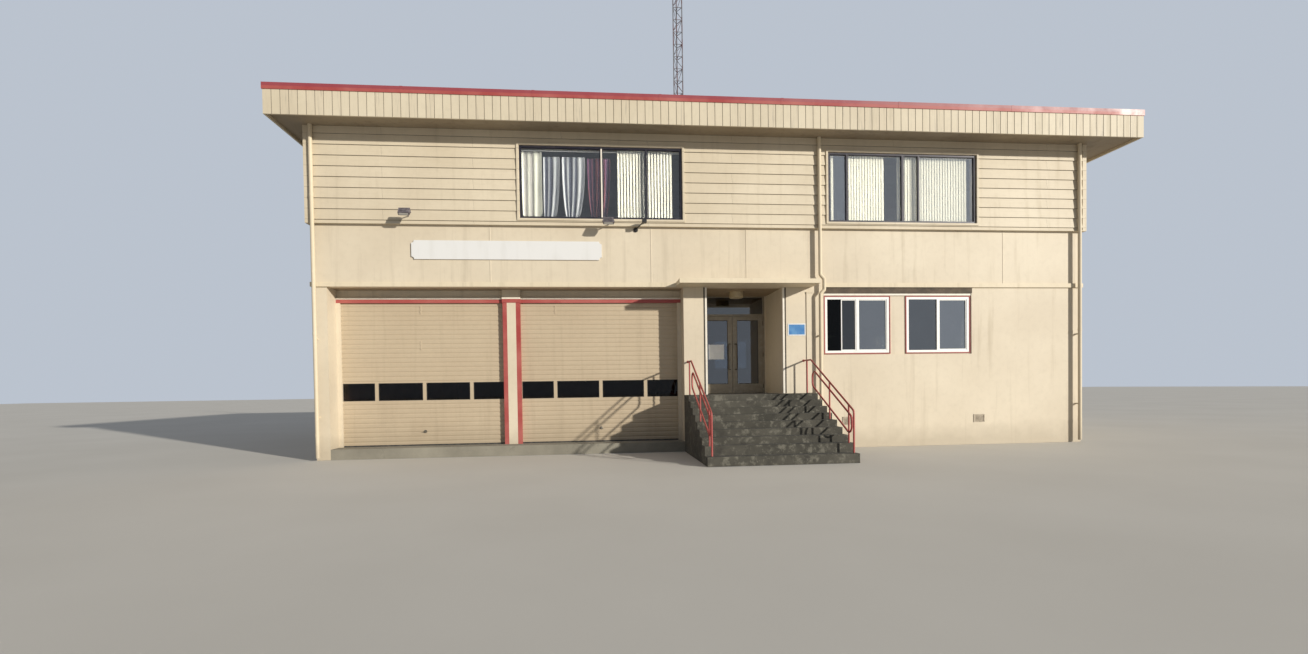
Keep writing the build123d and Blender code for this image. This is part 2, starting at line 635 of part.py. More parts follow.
def windows():
    lower_frame, lower_panes = lower_window()
    groups = {}
    front_stiles = dict(zip(FRONT_UPPER_CENTERS, FRONT_UPPER_STILES))
    for wall, along in UPPER_WINDOWS:
        stiles = front_stiles[along] if wall == "front" else OTHER_UPPER_STILES
        upper_frame, upper_panes = upper_window(stiles)
        place = on_wall(wall, along, UPPER_WINDOW_SILL) * Pos(0, UPPER_FRAME_REVEAL - SIDING_PROUD, 0)
        key = "front_upper" if wall == "front" else wall
        frames, glass = groups.setdefault(key, ([], []))
        frames.append(place * upper_frame)
        glass += [place * pane for pane in upper_panes]
    for wall, along in LOWER_WINDOWS:
        depth = WINDOW_PANEL_DEPTH - LOWER_FRAME_PROUD if wall == "front" else -LOWER_FRAME_PROUD
        place = on_wall(wall, along, LOWER_WINDOW_SILL) * Pos(0, depth, 0)
        key = "front_lower" if wall == "front" else wall
        frames, glass = groups.setdefault(key, ([], []))
        frames.append(place * lower_frame)
        glass += [place * pane for pane in lower_panes]
    for key, (frames, glass) in groups.items():
        save(f"{key}_window_frames", *frames)
        save(f"{key}_window_glass", *glass)


def vane_outline(a, b):
    """Closed upright vanes in plan: each leans and overlaps the next, so the row is a saw."""
    count = round((b - a) / BLIND_VANE)
    pitch = (b - a) / count
    front = []
    for i in range(count):
        x = a + i * pitch
        front += [(x, 0), (x + pitch, BLIND_LEAN)]
    back = [(x + BLIND_THICKNESS, y + BLIND_THICKNESS) for x, y in reversed(front)]
    return front + back


def blinds_and_curtains():
    bottom = UPPER_WINDOW_SILL + SILL_GAP
    rail_bottom = UPPER_WINDOW_HEAD - BLIND_HEADRAIL
    blinds = []
    for center, spans in zip(FRONT_UPPER_CENTERS, (LEFT_BLINDS, RIGHT_BLINDS)):
        for a, b in spans:
            vanes = prism_along_z(vane_outline(a, b), bottom, rail_bottom)
            rail = block(a, b, 0, BLIND_HEADRAIL, rail_bottom, UPPER_WINDOW_HEAD)
            blinds.append(Pos(center, BLIND_SETBACK, 0) * (vanes + rail))
    save("window_blinds", *blinds)

    center = FRONT_UPPER_CENTERS[0]
    rod_z = UPPER_WINDOW_HEAD - CURTAIN_ROD_DROP
    y = CURTAIN_SETBACK
    rod = Pos(center, y, rod_z) * Rot(0, 90, 0) * Cylinder(CURTAIN_ROD_RADIUS, UPPER_WINDOW_WIDTH)
    save("curtain_rod", rod)
    top = rod_z - CURTAIN_ROD_RADIUS - SOFT_CLEARANCE
    curtains = []
    for a, b in CURTAIN_SPANS:
        half = CURTAIN_THICKNESS / 2
        curtains.append(block(center + a, center + b, y - half, y + half, bottom, top))
    save("window_curtains", *curtains)


def entry_frame():
    """The entry's metal frame: jambs, head, transom bar and the stops behind the leaves."""
    y0 = FRAME_FACE
    y1 = y0 + ENTRY_FRAME_DEPTH
    frame = block(FRAME_LEFT, FRAME_RIGHT, y0, y1, LANDING_TOP, STOREY_HEIGHT)
    inner_left = FRAME_LEFT + ENTRY_JAMB
    inner_right = FRAME_RIGHT - ENTRY_JAMB
    stop_y = y0 + LEAF_THICKNESS + STOP_CLEARANCE
    frame -= block(inner_left, inner_right, y0 - 1, stop_y, LANDING_TOP - 1, BAR_BOTTOM)
    frame -= block(inner_left + STOP_DEPTH, inner_right - STOP_DEPTH, stop_y, y1 + 1,
                   LANDING_TOP - 1, BAR_BOTTOM - STOP_DEPTH)
    head = STOREY_HEIGHT - ENTRY_HEAD
    frame -= block(inner_left, inner_right, y0 - 1, y1 + 1, BAR_TOP, head)
    for side in (-1, 1):
        for z in hinge_heights():
            frame += frame_knuckles(side, z)
    save("entry_frame", frame)
    middle = (y0 + y1) / 2
    glass = block(inner_left, inner_right, middle - PANE_THICKNESS / 2, middle + PANE_THICKNESS / 2,
                  BAR_TOP, head)
    save("transom_glass", glass)


def hinge_heights():
    return (LEAF_BOTTOM + HINGE_INSET, (LEAF_BOTTOM + LEAF_TOP) / 2, LEAF_TOP - HINGE_INSET)


def hinge_x(side):
    return ENTRY_CENTER + side * ENTRY_HALF


def knuckle(side, z0, z1, plate_side):
    """A hinge knuckle round the pin line, with the plate that lies on frame or leaf."""
    x = hinge_x(side)
    barrel = upright(x, HINGE_Y, z0, z1, HINGE_RADIUS)
    a, b = sorted((x, x + plate_side * HINGE_PLATE_WIDTH))
    return barrel + block(a, b, FRAME_FACE - HINGE_PLATE, FRAME_FACE, z0, z1)


def frame_knuckles(side, z):
    third = HINGE_LENGTH / 3
    low = knuckle(side, z - 1.5 * third, z - third / 2, side)
    high = knuckle(side, z + third / 2, z + 1.5 * third, side)
    return low + high


def door_pull(side):
    """A bent bar: out from the stile, sideways away from the other leaf, and down between."""
    root_x = ENTRY_CENTER + side * (MEETING_GAP + LEAF_STILE) / 2
    grip_x = root_x + side * PULL_OFFSET
    out_y = FRAME_FACE - PULL_REACH
    z0 = LEAF_BOTTOM + PULL_HEIGHT - PULL_LENGTH / 2
    z1 = z0 + PULL_LENGTH
    corners = [
        (root_x, FRAME_FACE, z1),
        (root_x, out_y, z1),
        (grip_x, out_y, z1),
        (grip_x, out_y, z0),
        (root_x, out_y, z0),
        (root_x, FRAME_FACE, z0),
    ]
    path = FilletPolyline(*corners, radius=PULL_BEND)
    section = Plane(origin=path @ 0, z_dir=path % 0) * Circle(PULL_RADIUS)
    return sweep(section, path=path)


def entry_leaf(side):
    """One glazed leaf: stiles, rails and its pull; side -1 is the left leaf."""
    hinge_edge = hinge_x(side) - side * LEAF_GAP
    meeting_edge = ENTRY_CENTER + side * MEETING_GAP / 2
    x0, x1 = sorted((hinge_edge, meeting_edge))
    y0 = FRAME_FACE
    y1 = y0 + LEAF_THICKNESS
    glass_z0 = LEAF_BOTTOM + LEAF_BOTTOM_RAIL
    glass_z1 = LEAF_TOP - LEAF_TOP_RAIL
    glass_x0 = x0 + LEAF_STILE
    glass_x1 = x1 - LEAF_STILE
    leaf = block(x0, x1, y0, y1, LEAF_BOTTOM, LEAF_TOP)
    leaf -= block(glass_x0, glass_x1, y0 - 1, y1 + 1, glass_z0, glass_z1)
    third = HINGE_LENGTH / 3
    for z in hinge_heights():
        z0 = z - third / 2 + HINGE_SPLIT
        z1 = z + third / 2 - HINGE_SPLIT
        leaf += knuckle(side, z0, z1, -side)
    leaf += door_pull(side)
    middle = (y0 + y1) / 2
    glass = block(glass_x0, glass_x1, middle - PANE_THICKNESS / 2, middle + PANE_THICKNESS / 2,
                  glass_z0, glass_z1)
    return leaf, glass


def entry():
    entry_frame()
    for name, side in (("left", -1), ("right", 1)):
        leaf, glass = entry_leaf(side)
        save(f"{name}_leaf", leaf)
        save(f"{name}_leaf_glass", glass)


def canopy():
    x0 = PORTAL_RIGHT - CANOPY_LEFT
    x1 = PORCH_RIGHT + CANOPY_RIGHT
    save("porch_canopy", block(x0, x1, -CANOPY_REACH, 0, STOREY_HEIGHT, STOREY_HEIGHT + BELT_HEIGHT))
    bowl = Cylinder(LIGHT_RADIUS, LIGHT_DROP)
    bowl = fillet(bowl.edges().group_by(Axis.Z)[0], LIGHT_ROUND)
    x = (PORCH_LEFT + PORCH_RIGHT) / 2 - LIGHT_OFFSET
    save("porch_light", Pos(x, LIGHT_SETBACK, STOREY_HEIGHT - LIGHT_DROP / 2) * bowl)


def step_top(number):
    """The height of a tread; 0 is the landing and the count goes down."""
    upper = min(number, UPPER_STEP_COUNT)
    low = number - upper
    return LANDING_TOP - upper * STEP_RISER - low * STEP_RISER_LOW


def landing_and_steps():
    x0 = STAIR_LEFT
    x1 = STAIR_LEFT + STAIR_WIDTH
    landing = block(x0, x1, -LANDING_REACH, 0, 0, LANDING_TOP)
    landing += block(PORCH_LEFT, PORCH_RIGHT, 0, PORCH_DEPTH, 0, LANDING_TOP)
    landing += block(FRAME_LEFT, FRAME_RIGHT, PORCH_DEPTH, PORCH_BACK, 0, LANDING_TOP)
    save("landing", landing)
    profile = [(-LANDING_REACH, 0)]
    for i in range(1, STEP_COUNT + 1):
        back = -LANDING_REACH - (i - 1) * STEP_GOING
        profile += [(back, step_top(i)), (back - STEP_GOING, step_top(i))]
    profile.append((-STAIR_FOOT, 0))
    save("front_steps", prism_along_x(profile, x0, x1))


def tread_under(y):
    """The height of what a rail post stands on, at a distance y in front of the wall."""
    if y <= LANDING_REACH:
        return LANDING_TOP
    return step_top(min(STEP_COUNT, math.ceil((y - LANDING_REACH) / STEP_GOING)))


def rail_line():
    """The top rail in side view, as (out, height): wall, bend at the top, bend at the foot."""
    foot_y = STAIR_FOOT - RAIL_END_INSET
    top = LANDING_TOP + RAIL_HEIGHT
    low = step_top(STEP_COUNT) + RAIL_HEIGHT_LOW
    return [(0, top), (RAIL_LEVEL_REACH, top), (foot_y, low), (foot_y, step_top(STEP_COUNT))]


def rail_height(y):
    """The height of the top rail's line at a distance y in front of the wall."""
    (_, top), (bend, _), (foot_y, low), _ = rail_line()
    if y <= bend:
        return top
    return top + (low - top) * (y - bend) / (foot_y - bend)


def pipe_along(points, x, bend, closed=False):
    """A round pipe along (out, height) points in the plane of one x."""
    corners = [(x, -y, z) for y, z in points]
    path = FilletPolyline(*corners, radius=bend, close=closed)
    section = Plane(origin=path @ 0, z_dir=path % 0) * Circle(RAIL_RADIUS)
    return sweep(section, path=path)


def railing(x):
    pipes = pipe_along(rail_line(), x, RAIL_BEND)
    foot_y = STAIR_FOOT - RAIL_END_INSET
    inner_top = RAIL_LEVEL_REACH + RAIL_INSET
    inner_low = foot_y - RAIL_INSET
    loop = []
    for y in (inner_top, inner_low):
        loop.append((y, rail_height(y) - RAIL_SECOND_DROP))
    for y in (inner_low, inner_top):
        loop.append((y, rail_height(y) - RAIL_THIRD_DROP))
    pipes += pipe_along(loop, x, RAIL_LOOP_BEND, closed=True)
    for y in RAIL_POST_SETBACKS:
        pipes += upright(x, -y, tread_under(y), rail_height(y), RAIL_POST_RADIUS)
    return pipes


def railings():
    save("left_railing", railing(STAIR_LEFT + RAIL_INSET))
    save("right_railing", railing(STAIR_LEFT + STAIR_WIDTH - RAIL_INSET))


def straps(x):
    """The straps that hold one downpipe off the wall and off the siding."""
    half = PIPE_STRAP / 2
    places = [(z, 0) for z in STRAP_HEIGHTS]
    z = SIDING_BOTTOM + SIDING_STRAP_RISE
    places.append((z, -siding_reach(z - half, z + half)))
    return [block(x - half, x + half, -PIPE_STANDOFF, y, z - half, z + half) for z, y in places]


def downpipes():
    for name, x in (("left", PIPE_LEFT_INSET), ("right", WALL_WIDTH - PIPE_RIGHT_INSET)):
        pipe = upright(x, -PIPE_STANDOFF, PIPE_FOOT, SOFFIT_HEIGHT, PIPE_RADIUS)
        save(f"downpipe_{name}", pipe + straps(x))
    x = PIPE_MIDDLE_X
    jog = x + PIPE_JOG
    mid = STOREY_HEIGHT + BELT_HEIGHT / 2
    half = PIPE_JOG_HEIGHT / 2
    corners = [
        (x, -PIPE_STANDOFF, SOFFIT_HEIGHT),
        (x, -PIPE_STANDOFF, mid + half + PIPE_JOG_RISE),
        (jog, -PIPE_STANDOFF, mid + half),
        (jog, -PIPE_STANDOFF, mid - half),
        (x, -PIPE_STANDOFF, mid - half - PIPE_JOG_RISE),
        (x, -PIPE_STANDOFF, PIPE_FOOT),
    ]
    path = FilletPolyline(*corners, radius=PIPE_BEND)
    section = Plane(origin=path @ 0, z_dir=path % 0) * Circle(PIPE_RADIUS)
    save("downpipe_middle", sweep(section, path=path) + straps(x))


def sign_board():
    x0, z0 = SIGN_LEFT, STOREY_HEIGHT + SIGN_RISE
    x1, z1 = x0 + SIGN_WIDTH, z0 + SIGN_HEIGHT
    board = block(x0, x1, -SIGN_THICKNESS, 0, z0, z1)
    notch = Rot(90, 0, 0) * Cylinder(SIGN_NOTCH, SIGN_THICKNESS * 2)
    for x in (x0, x1):
        for z in (z0, z1):
            board -= Pos(x, -SIGN_THICKNESS / 2, z) * notch
    save("sign_board", board)


def wall_arm(x, y, z):
    """A short round arm from the siding out to y."""
    root = -siding_reach(z - LAMP_ARM_RADIUS, z + LAMP_ARM_RADIUS)
    return Pos(x, (root + y) / 2, z) * Rot(90, 0, 0) * Cylinder(LAMP_ARM_RADIUS, root - y)


def lamp(x, z):
    """A floodlight on an arm out of the siding, aimed down at the sign."""
    y = -SIDING_PROUD - LAMP_REACH
    head = Box(LAMP_WIDTH, LAMP_DEPTH, LAMP_HEIGHT)
    head = chamfer(head.edges().group_by(Axis.Y)[-1], LAMP_CHAMFER)
    head = Pos(x, y, z) * Rot(-LAMP_TILT, 0, 0) * head
    return head + wall_arm(x, y, z)


def wall_lights():
    lamps = [lamp(x, SIDING_BOTTOM + rise) for x, rise in LAMP_PLACES]
    x, rise = SENSOR_PLACE
    z = SIDING_BOTTOM + rise
    y = -SIDING_PROUD - SENSOR_REACH
    sensor = Pos(x, y, z) * Box(SENSOR_WIDTH, SENSOR_DEPTH, SENSOR_HEIGHT)
    sensor += wall_arm(x, y, z)
    save("wall_lights", *lamps, sensor)


def bar_between(start, end, size):
    """A square bar from point to point."""
    start = Vector(*start)
    end = Vector(*end)
    plane = Plane(origin=start, z_dir=end - start)
    return extrude(plane * Rectangle(size, size), amount=(end - start).length)


def roof_height(y):
    """The height of the roof's top at y."""
    half = RIDGE_Y - ROOF_FRONT - FASCIA_THICKNESS
    return DECK_TOP + ROOF_CROWN * (1 - abs(y - RIDGE_Y) / half)


def mast():
    """A three-legged lattice: legs, rungs and crossed diagonals on a base on the roof."""
    high_y = MAST_Y + MAST_BASE_SIZE / 2
    base_top = roof_height(high_y) + MAST_BASE_THICKNESS
    half = MAST_BASE_SIZE / 2
    low_y = MAST_Y - half
    profile = [
        (low_y, roof_height(low_y)),
        (high_y, roof_height(high_y)),
        (high_y, base_top),
        (low_y, base_top),
    ]
    base = prism_along_x(profile, MAST_X - half, MAST_X + half)
    radius = MAST_FACE / math.sqrt(3)
    legs = []
    for k in range(3):
        angle = math.radians(90 + 120 * k)
        legs.append((MAST_X + radius * math.cos(angle), MAST_Y + radius * math.sin(angle)))
    count = int((MAST_TOP - base_top) / MAST_PANEL)
    pitch = (MAST_TOP - base_top) / count
    tower = base
    for x, y in legs:
        tower += Pos(x, y, (base_top + MAST_TOP) / 2) * Box(MAST_LEG, MAST_LEG, MAST_TOP - base_top)
    bars = []
    for i in range(count):
        z0 = base_top + i * pitch + MAST_BAR
        z1 = z0 + pitch - 2 * MAST_BAR
        for k in range(3):
            a, b = legs[k], legs[(k + 1) % 3]
            if (i + k) % 2:
                a, b = b, a
            bars.append(bar_between((*a, z0), (*b, z1), MAST_BAR))
            bars.append(bar_between((*a, z1), (*b, z1), MAST_BAR))
    tower = tower.fuse(*bars)
    save("radio_mast", tower)


floors()
side_and_back_walls()
front_walls()
siding()
belt_course()
roof()
roof_edge()
garage_bays()
windows()
blinds_and_curtains()
entry()
canopy()
landing_and_steps()
railings()
downpipes()
sign_board()
wall_lights()
mast()
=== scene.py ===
import math

import bpy
from mathutils import Matrix, Vector


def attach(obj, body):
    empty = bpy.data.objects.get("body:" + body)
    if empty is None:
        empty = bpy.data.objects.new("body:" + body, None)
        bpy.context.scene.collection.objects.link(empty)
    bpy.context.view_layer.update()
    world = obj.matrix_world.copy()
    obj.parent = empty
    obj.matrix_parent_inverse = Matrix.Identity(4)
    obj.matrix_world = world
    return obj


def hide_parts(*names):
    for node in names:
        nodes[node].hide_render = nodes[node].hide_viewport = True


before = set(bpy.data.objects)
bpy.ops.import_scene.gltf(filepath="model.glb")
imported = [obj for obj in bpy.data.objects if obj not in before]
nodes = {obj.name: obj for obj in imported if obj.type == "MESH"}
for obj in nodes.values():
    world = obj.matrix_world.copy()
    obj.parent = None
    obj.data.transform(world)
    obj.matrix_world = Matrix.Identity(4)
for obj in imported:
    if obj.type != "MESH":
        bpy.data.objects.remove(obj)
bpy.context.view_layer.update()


# The viewpoint
# A wide lens stands in the street in front of the bays, at eye height, turned a little to the
# right. The frame is shifted up, so that the walls stay upright.
CAMERA_PLACE = (-3.513, -22.189, 1.669)
CAMERA_YAW = math.radians(5.60)
CAMERA_DIP = math.radians(1.13)
CAMERA_ROLL = math.radians(-0.83)
LENS, SENSOR_WIDTH, UPWARD_SHIFT, FARTHEST = 17.07, 36, 0.0551, 400

look = Vector((
    math.sin(CAMERA_YAW) * math.cos(CAMERA_DIP),
    math.cos(CAMERA_YAW) * math.cos(CAMERA_DIP),
    -math.sin(CAMERA_DIP),
))
level = Vector((math.cos(CAMERA_YAW), -math.sin(CAMERA_YAW), 0))
rise = level.cross(look)
right = level * math.cos(CAMERA_ROLL) + rise * math.sin(CAMERA_ROLL)
up = rise * math.cos(CAMERA_ROLL) - level * math.sin(CAMERA_ROLL)

bpy.ops.object.camera_add(location=CAMERA_PLACE)
camera = bpy.context.object
camera.name = "street_camera"
camera.rotation_euler = Matrix((right, up, -look)).transposed().to_euler()
camera.data.lens = LENS
camera.data.sensor_width = SENSOR_WIDTH
camera.data.shift_y = UPWARD_SHIFT
camera.data.clip_end = FARTHEST
bpy.context.scene.camera = camera


# Studio light
# A broad key light from the right and in front, low enough to throw the shadow of the eaves
# down the wall, and an even pale surround that fills all other sides.
KEY_DIRECTION = Vector((-1.0, 1.0, -0.40))
KEY_ENERGY, KEY_COLOR, KEY_SPREAD = 4.2, (1.0, 0.95, 0.85), math.radians(1.5)
FILL_COLOR, FILL_STRENGTH = (0.84, 0.90, 1.0), 0.30
BACKDROP_COLOR, BACKDROP_STRENGTH = (0.80, 0.88, 1.0), 0.62


def feed(tree, socket, value):
    """Joins a socket to another node's output, or sets its own value; every colour is opaque."""
    if isinstance(value, bpy.types.NodeSocket):
        tree.links.new(value, socket)
    else:
        socket.default_value = (*value, 1) if socket.type == "RGBA" else value


def add_node(tree, kind, inputs=(), **settings):
    """One shader node, with its settings made and its sockets set or joined."""
    made = tree.nodes.new(f"ShaderNode{kind}")
    for name, value in settings.items():
        setattr(made, name, value)
    for name, value in dict(inputs).items():
        feed(tree, made.inputs[name], value)
    return made


bpy.ops.object.light_add(type="SUN", location=(12, -20, 12))
key = bpy.context.object
key.name = "key_light"
key.rotation_euler = KEY_DIRECTION.to_track_quat("-Z", "Y").to_euler()
key.data.energy = KEY_ENERGY
key.data.color = KEY_COLOR
key.data.angle = KEY_SPREAD

surround = bpy.data.worlds.new("surround")
surround.use_nodes = True
tree = surround.node_tree
fill = tree.nodes["Background"]
feed(tree, fill.inputs["Color"], FILL_COLOR)
feed(tree, fill.inputs["Strength"], FILL_STRENGTH)
backdrop = add_node(tree, "Background", {"Color": BACKDROP_COLOR, "Strength": BACKDROP_STRENGTH})
rays = add_node(tree, "LightPath")
choice = add_node(tree, "MixShader", {
    0: rays.outputs["Is Diffuse Ray"], 1: backdrop.outputs[0], 2: fill.outputs[0]})
tree.links.new(choice.outputs[0], tree.nodes["World Output"].inputs["Surface"])
bpy.context.scene.world = surround
bpy.context.scene.view_settings.view_transform = "Standard"


# Stage floor
# A plain pale floor under the whole building, in faintly mottled paint. It is no part of the
# building and lies just below it.
FLOOR_SIZE, FLOOR_DROP = 260, 0.002


def new_finish(name, **sockets):
    """A material with its constants set on the shader's own sockets."""
    finish = bpy.data.materials.new(name)
    finish.use_nodes = True
    shader = finish.node_tree.nodes["Principled BSDF"]
    for socket, value in sockets.items():
        shader.inputs[socket.replace("_", " ")].default_value = value
    return finish, finish.node_tree


def new_group(name, inputs, outputs):
    """A node group with its named sockets: the group, what is given to it and its result."""
    group = bpy.data.node_groups.new(name, "ShaderNodeTree")
    for side, sockets in (("INPUT", inputs), ("OUTPUT", outputs)):
        for kind, labels in sockets.items():
            for label in labels:
                group.interface.new_socket(label, in_out=side, socket_type=f"NodeSocket{kind}")
    return group, group.nodes.new("NodeGroupInput").outputs, group.nodes.new("NodeGroupOutput").inputs


def object_place(tree, stretch=(1, 1, 1)):
    """Object coordinates in metres, stretched by a scale on each axis."""
    coordinates = add_node(tree, "TexCoord")
    mapping = add_node(tree, "Mapping", {"Vector": coordinates.outputs["Object"], "Scale": stretch})
    return mapping.outputs["Vector"]


def noise(tree, where, scale, detail=3.0, ragged=0.5):
    """Soft clouds between 0 and 1."""
    made = add_node(tree, "TexNoise", {
        "Vector": where, "Scale": scale, "Detail": detail, "Roughness": ragged})
    return made.outputs["Fac"]


def spread(tree, value, low, high, out_low=0.0, out_high=1.0):
    """A value between two levels, drawn out to the range asked for."""
    made = add_node(tree, "MapRange", {
        "Value": value, "From Min": low, "From Max": high, "To Min": out_low, "To Max": out_high})
    return made.outputs["Result"]


def blend_color(tree, share, first, second):
    """The first colour where the share is 0 and the second where it is 1."""
    return add_node(tree, "Mix", {0: share, 6: first, 7: second}, data_type="RGBA").outputs[2]


def build_soft_patches():
    """The effect that most finishes share: a tone that shows in soft patches over another."""
    group, given, result = new_group(
        "soft_patches",
        {"Color": ("Ground", "Patch"), "Vector": ("Stretch",),
         "Float": ("Scale", "Detail", "Ragged", "Low", "High", "Most")},
        {"Color": ("Color",), "Float": ("Mask",)})
    where = object_place(group, given["Stretch"])
    cloud = noise(group, where, given["Scale"], given["Detail"], given["Ragged"])
    mask = spread(group, cloud, given["Low"], given["High"], 0.0, given["Most"])
    group.links.new(mask, result["Mask"])
    group.links.new(blend_color(group, mask, given["Ground"], given["Patch"]), result["Color"])
    return group


soft_patches = build_soft_patches()


def patches(tree, ground, patch, cloud, band, most=1.0, stretch=(1, 1, 1)):
    """Soft patches in one material: cloud is scale, detail, raggedness; band is where they set in."""
    values = {"Ground": ground, "Patch": patch, "Stretch": stretch, "Most": most}
    values.update(zip(("Scale", "Detail", "Ragged", "Low", "High"), cloud + band))
    made = add_node(tree, "Group", values, node_tree=soft_patches)
    return made.outputs["Color"], made.outputs["Mask"]


def join_shader(tree, color, roughness=None, height=None, depth=None):
    """Joins the shader to its colour and, where they vary, to its roughness and to relief of a depth."""
    shader = tree.nodes["Principled BSDF"]
    tree.links.new(color, shader.inputs["Base Color"])
    if roughness is not None:
        tree.links.new(roughness, shader.inputs["Roughness"])
    if height is not None:
        relief = add_node(tree, "Bump", {"Height": height, "Distance": depth, "Strength": 1.0})
        tree.links.new(relief.outputs["Normal"], shader.inputs["Normal"])


def patchy_finish(name, ground, patch, cloud, band, most=1.0, stretch=(1, 1, 1), gloss=None, **sockets):
    """A finish of two tones; gloss is the roughness of the one and of the other, where it varies."""
    finish, tree = new_finish(name, **sockets)
    color, mask = patches(tree, ground, patch, cloud, band, most, stretch)
    join_shader(tree, color, spread(tree, mask, 0, 1, *gloss) if gloss else None)
    return finish


def start(add_primitive, name, scale=(1, 1, 1), **settings):
    """A primitive at its size and place, for a piece to be shaped from."""
    bpy.ops.object.select_all(action="DESELECT")
    add_primitive(**settings)
    made = bpy.context.object
    made.name = name
    made.scale = scale
    bpy.ops.object.transform_apply(location=True, rotation=True, scale=True)
    return made


floor_finish = patchy_finish(
    "stage_paint", (0.56, 0.535, 0.49), (0.60, 0.575, 0.53), (0.3, 3, 0.5), (0.3, 0.7), Roughness=0.9)
stage_floor = start(bpy.ops.mesh.primitive_plane_add, "stage_floor", size=FLOOR_SIZE,
                    location=(0, 0, -FLOOR_DROP))
stage_floor.data.materials.append(floor_finish)


# Concrete slabs, landing and steps
# Cast in place and left bare. Weather has worn the steps down to the stones, and grey lichen
# and dark damp patches cover treads and risers.
def combine(tree, operation, a, b=0.0):
    """Two values put together by one operation."""
    return add_node(tree, "Math", {0: a, 1: b}, operation=operation).outputs["Value"]


def times(tree, a, b):
    """The product of two values."""
    return combine(tree, "MULTIPLY", a, b)


def dress(names, finish):
    """Gives CAD nodes their finish."""
    for name in names:
        nodes[name].material_slots[0].material = finish


concrete, tree = new_finish("weathered_concrete", Roughness=0.92)
where = object_place(tree)
color, _ = patches(tree, (0.048, 0.045, 0.036), (0.086, 0.080, 0.065), (0.9, 5, 0.6), (0.38, 0.62))
color, _ = patches(tree, color, (0.19, 0.18, 0.147), (5.5, 8, 0.72), (0.52, 0.62), 0.75)  # lichen
stones = add_node(tree, "TexVoronoi", {"Vector": where, "Scale": 55.0})
stone_mask = spread(tree, stones.outputs["Distance"], 0.05, 0.3, 0.35, 0.0)
color = blend_color(tree, stone_mask, color, (0.05, 0.047, 0.041))
color, _ = patches(tree, color, (0.026, 0.024, 0.021), (2.2, 6, 0.65), (0.56, 0.72), 0.7)  # damp
grit = combine(tree, "ADD", noise(tree, where, 38, 6, 0.7), times(tree, stone_mask, -0.8))
join_shader(tree, color, None, grit, 0.012)
dress(["office_floor", "landing", "front_steps"], concrete)

floor_slab, tree = new_finish("trowelled_concrete", Roughness=0.88)
color, _ = patches(tree, (0.20, 0.185, 0.15), (0.29, 0.27, 0.22), (0.7, 6, 0.62), (0.36, 0.66))
color, _ = patches(tree, color, (0.11, 0.10, 0.082), (2.6, 6, 0.7), (0.58, 0.72), 0.6)  # oil stains
join_shader(tree, color, None, noise(tree, object_place(tree), 30, 6, 0.7), 0.006)
dress(["garage_floor"], floor_slab)


# Ground storey walls and smooth band
# Smooth panels under many coats of beige paint. Rain has run down them in faint streaks and
# splashed the foot of the wall.
def object_axes(tree):
    """Object coordinates, with an output for each axis."""
    return add_node(tree, "SeparateXYZ", {"Vector": object_place(tree)}).outputs


def build_weathered_paint():
    """The effect that all old paint shares: faded patches, rain streaks and brush texture."""
    group, given, result = new_group(
        "weathered_paint",
        {"Color": ("Fresh", "Faded", "Dirt"), "Float": ("Fading", "Streaks", "Splash Height")},
        {"Color": ("Color",), "Float": ("Roughness", "Height")})
    where = object_place(group)
    sunned = spread(group, noise(group, where, 0.45, 4, 0.55), 0.36, 0.66)
    color = blend_color(group, times(group, sunned, given["Fading"]), given["Fresh"], given["Faded"])
    run = spread(group, noise(group, object_place(group, (5.5, 5.5, 0.28)), 1.0, 5, 0.6), 0.54, 0.78)
    color = blend_color(group, times(group, run, given["Streaks"]), color, given["Dirt"])
    mottle = spread(group, noise(group, where, 7.0, 7, 0.7), 0.48, 0.75, 0.0, 0.16)
    color = blend_color(group, mottle, color, given["Dirt"])
    ragged = times(group, noise(group, where, 3.0, 5), -0.5)
    height = combine(group, "ADD", object_axes(group)["Z"], ragged)
    above = combine(group, "DIVIDE", height, given["Splash Height"])
    color = blend_color(group, spread(group, above, -0.2, 0.8, 0.55, 0.0), color, given["Dirt"])
    group.links.new(color, result["Color"])
    group.links.new(spread(group, run, 0, 1, 0.58, 0.78), result["Roughness"])
    brushed = combine(group, "ADD", noise(group, where, 90, 3), times(group, sunned, 0.4))
    group.links.new(brushed, result["Height"])
    return group


weathered_paint = build_weathered_paint()


def old_paint(tree, fresh, faded, dirt, fading, streaks, splash):
    """The shared paint effect, placed in one material; splash is the height that mud reaches."""
    values = {"Fresh": fresh, "Faded": faded, "Dirt": dirt, "Fading": fading, "Streaks": streaks,
              "Splash Height": splash}
    return add_node(tree, "Group", values, node_tree=weathered_paint).outputs


def paint_finish(name, *values, relief=0.0012):
    """A finish of old paint and nothing else; the values are those of old_paint."""
    finish, tree = new_finish(name)
    paint = old_paint(tree, *values)
    join_shader(tree, paint["Color"], paint["Roughness"], paint["Height"] if relief else None, relief)
    return finish


wall_finish = paint_finish(
    "beige_wall_paint", (0.60, 0.52, 0.40), (0.68, 0.60, 0.47), (0.38, 0.32, 0.235), 0.9, 0.4, 0.5)
dress(["left_wall", "right_wall", "back_wall", "upper_front_wall", "garage_portal",
       "porch_left_pier", "porch_right_wall", "front_right_wall"], wall_finish)


# Panel joints
# Thin battens with sloped edges, nailed over the upright joints between the smooth panels and
# painted with them.
LEFT, FRONT = -10.200, -6.459
RIGHT, BACK = LEFT + 19.940, FRONT + 15.240
BAND_FOOT, BAND_HEAD = 4.312, 5.708


def apply_modifier(piece, kind, **settings):
    """Adds a modifier with its settings and applies it."""
    bpy.context.view_layer.objects.active = piece
    made = piece.modifiers.new(kind.lower(), kind)
    for setting, value in settings.items():
        setattr(made, setting, value)
    bpy.ops.object.modifier_apply(modifier=made.name)


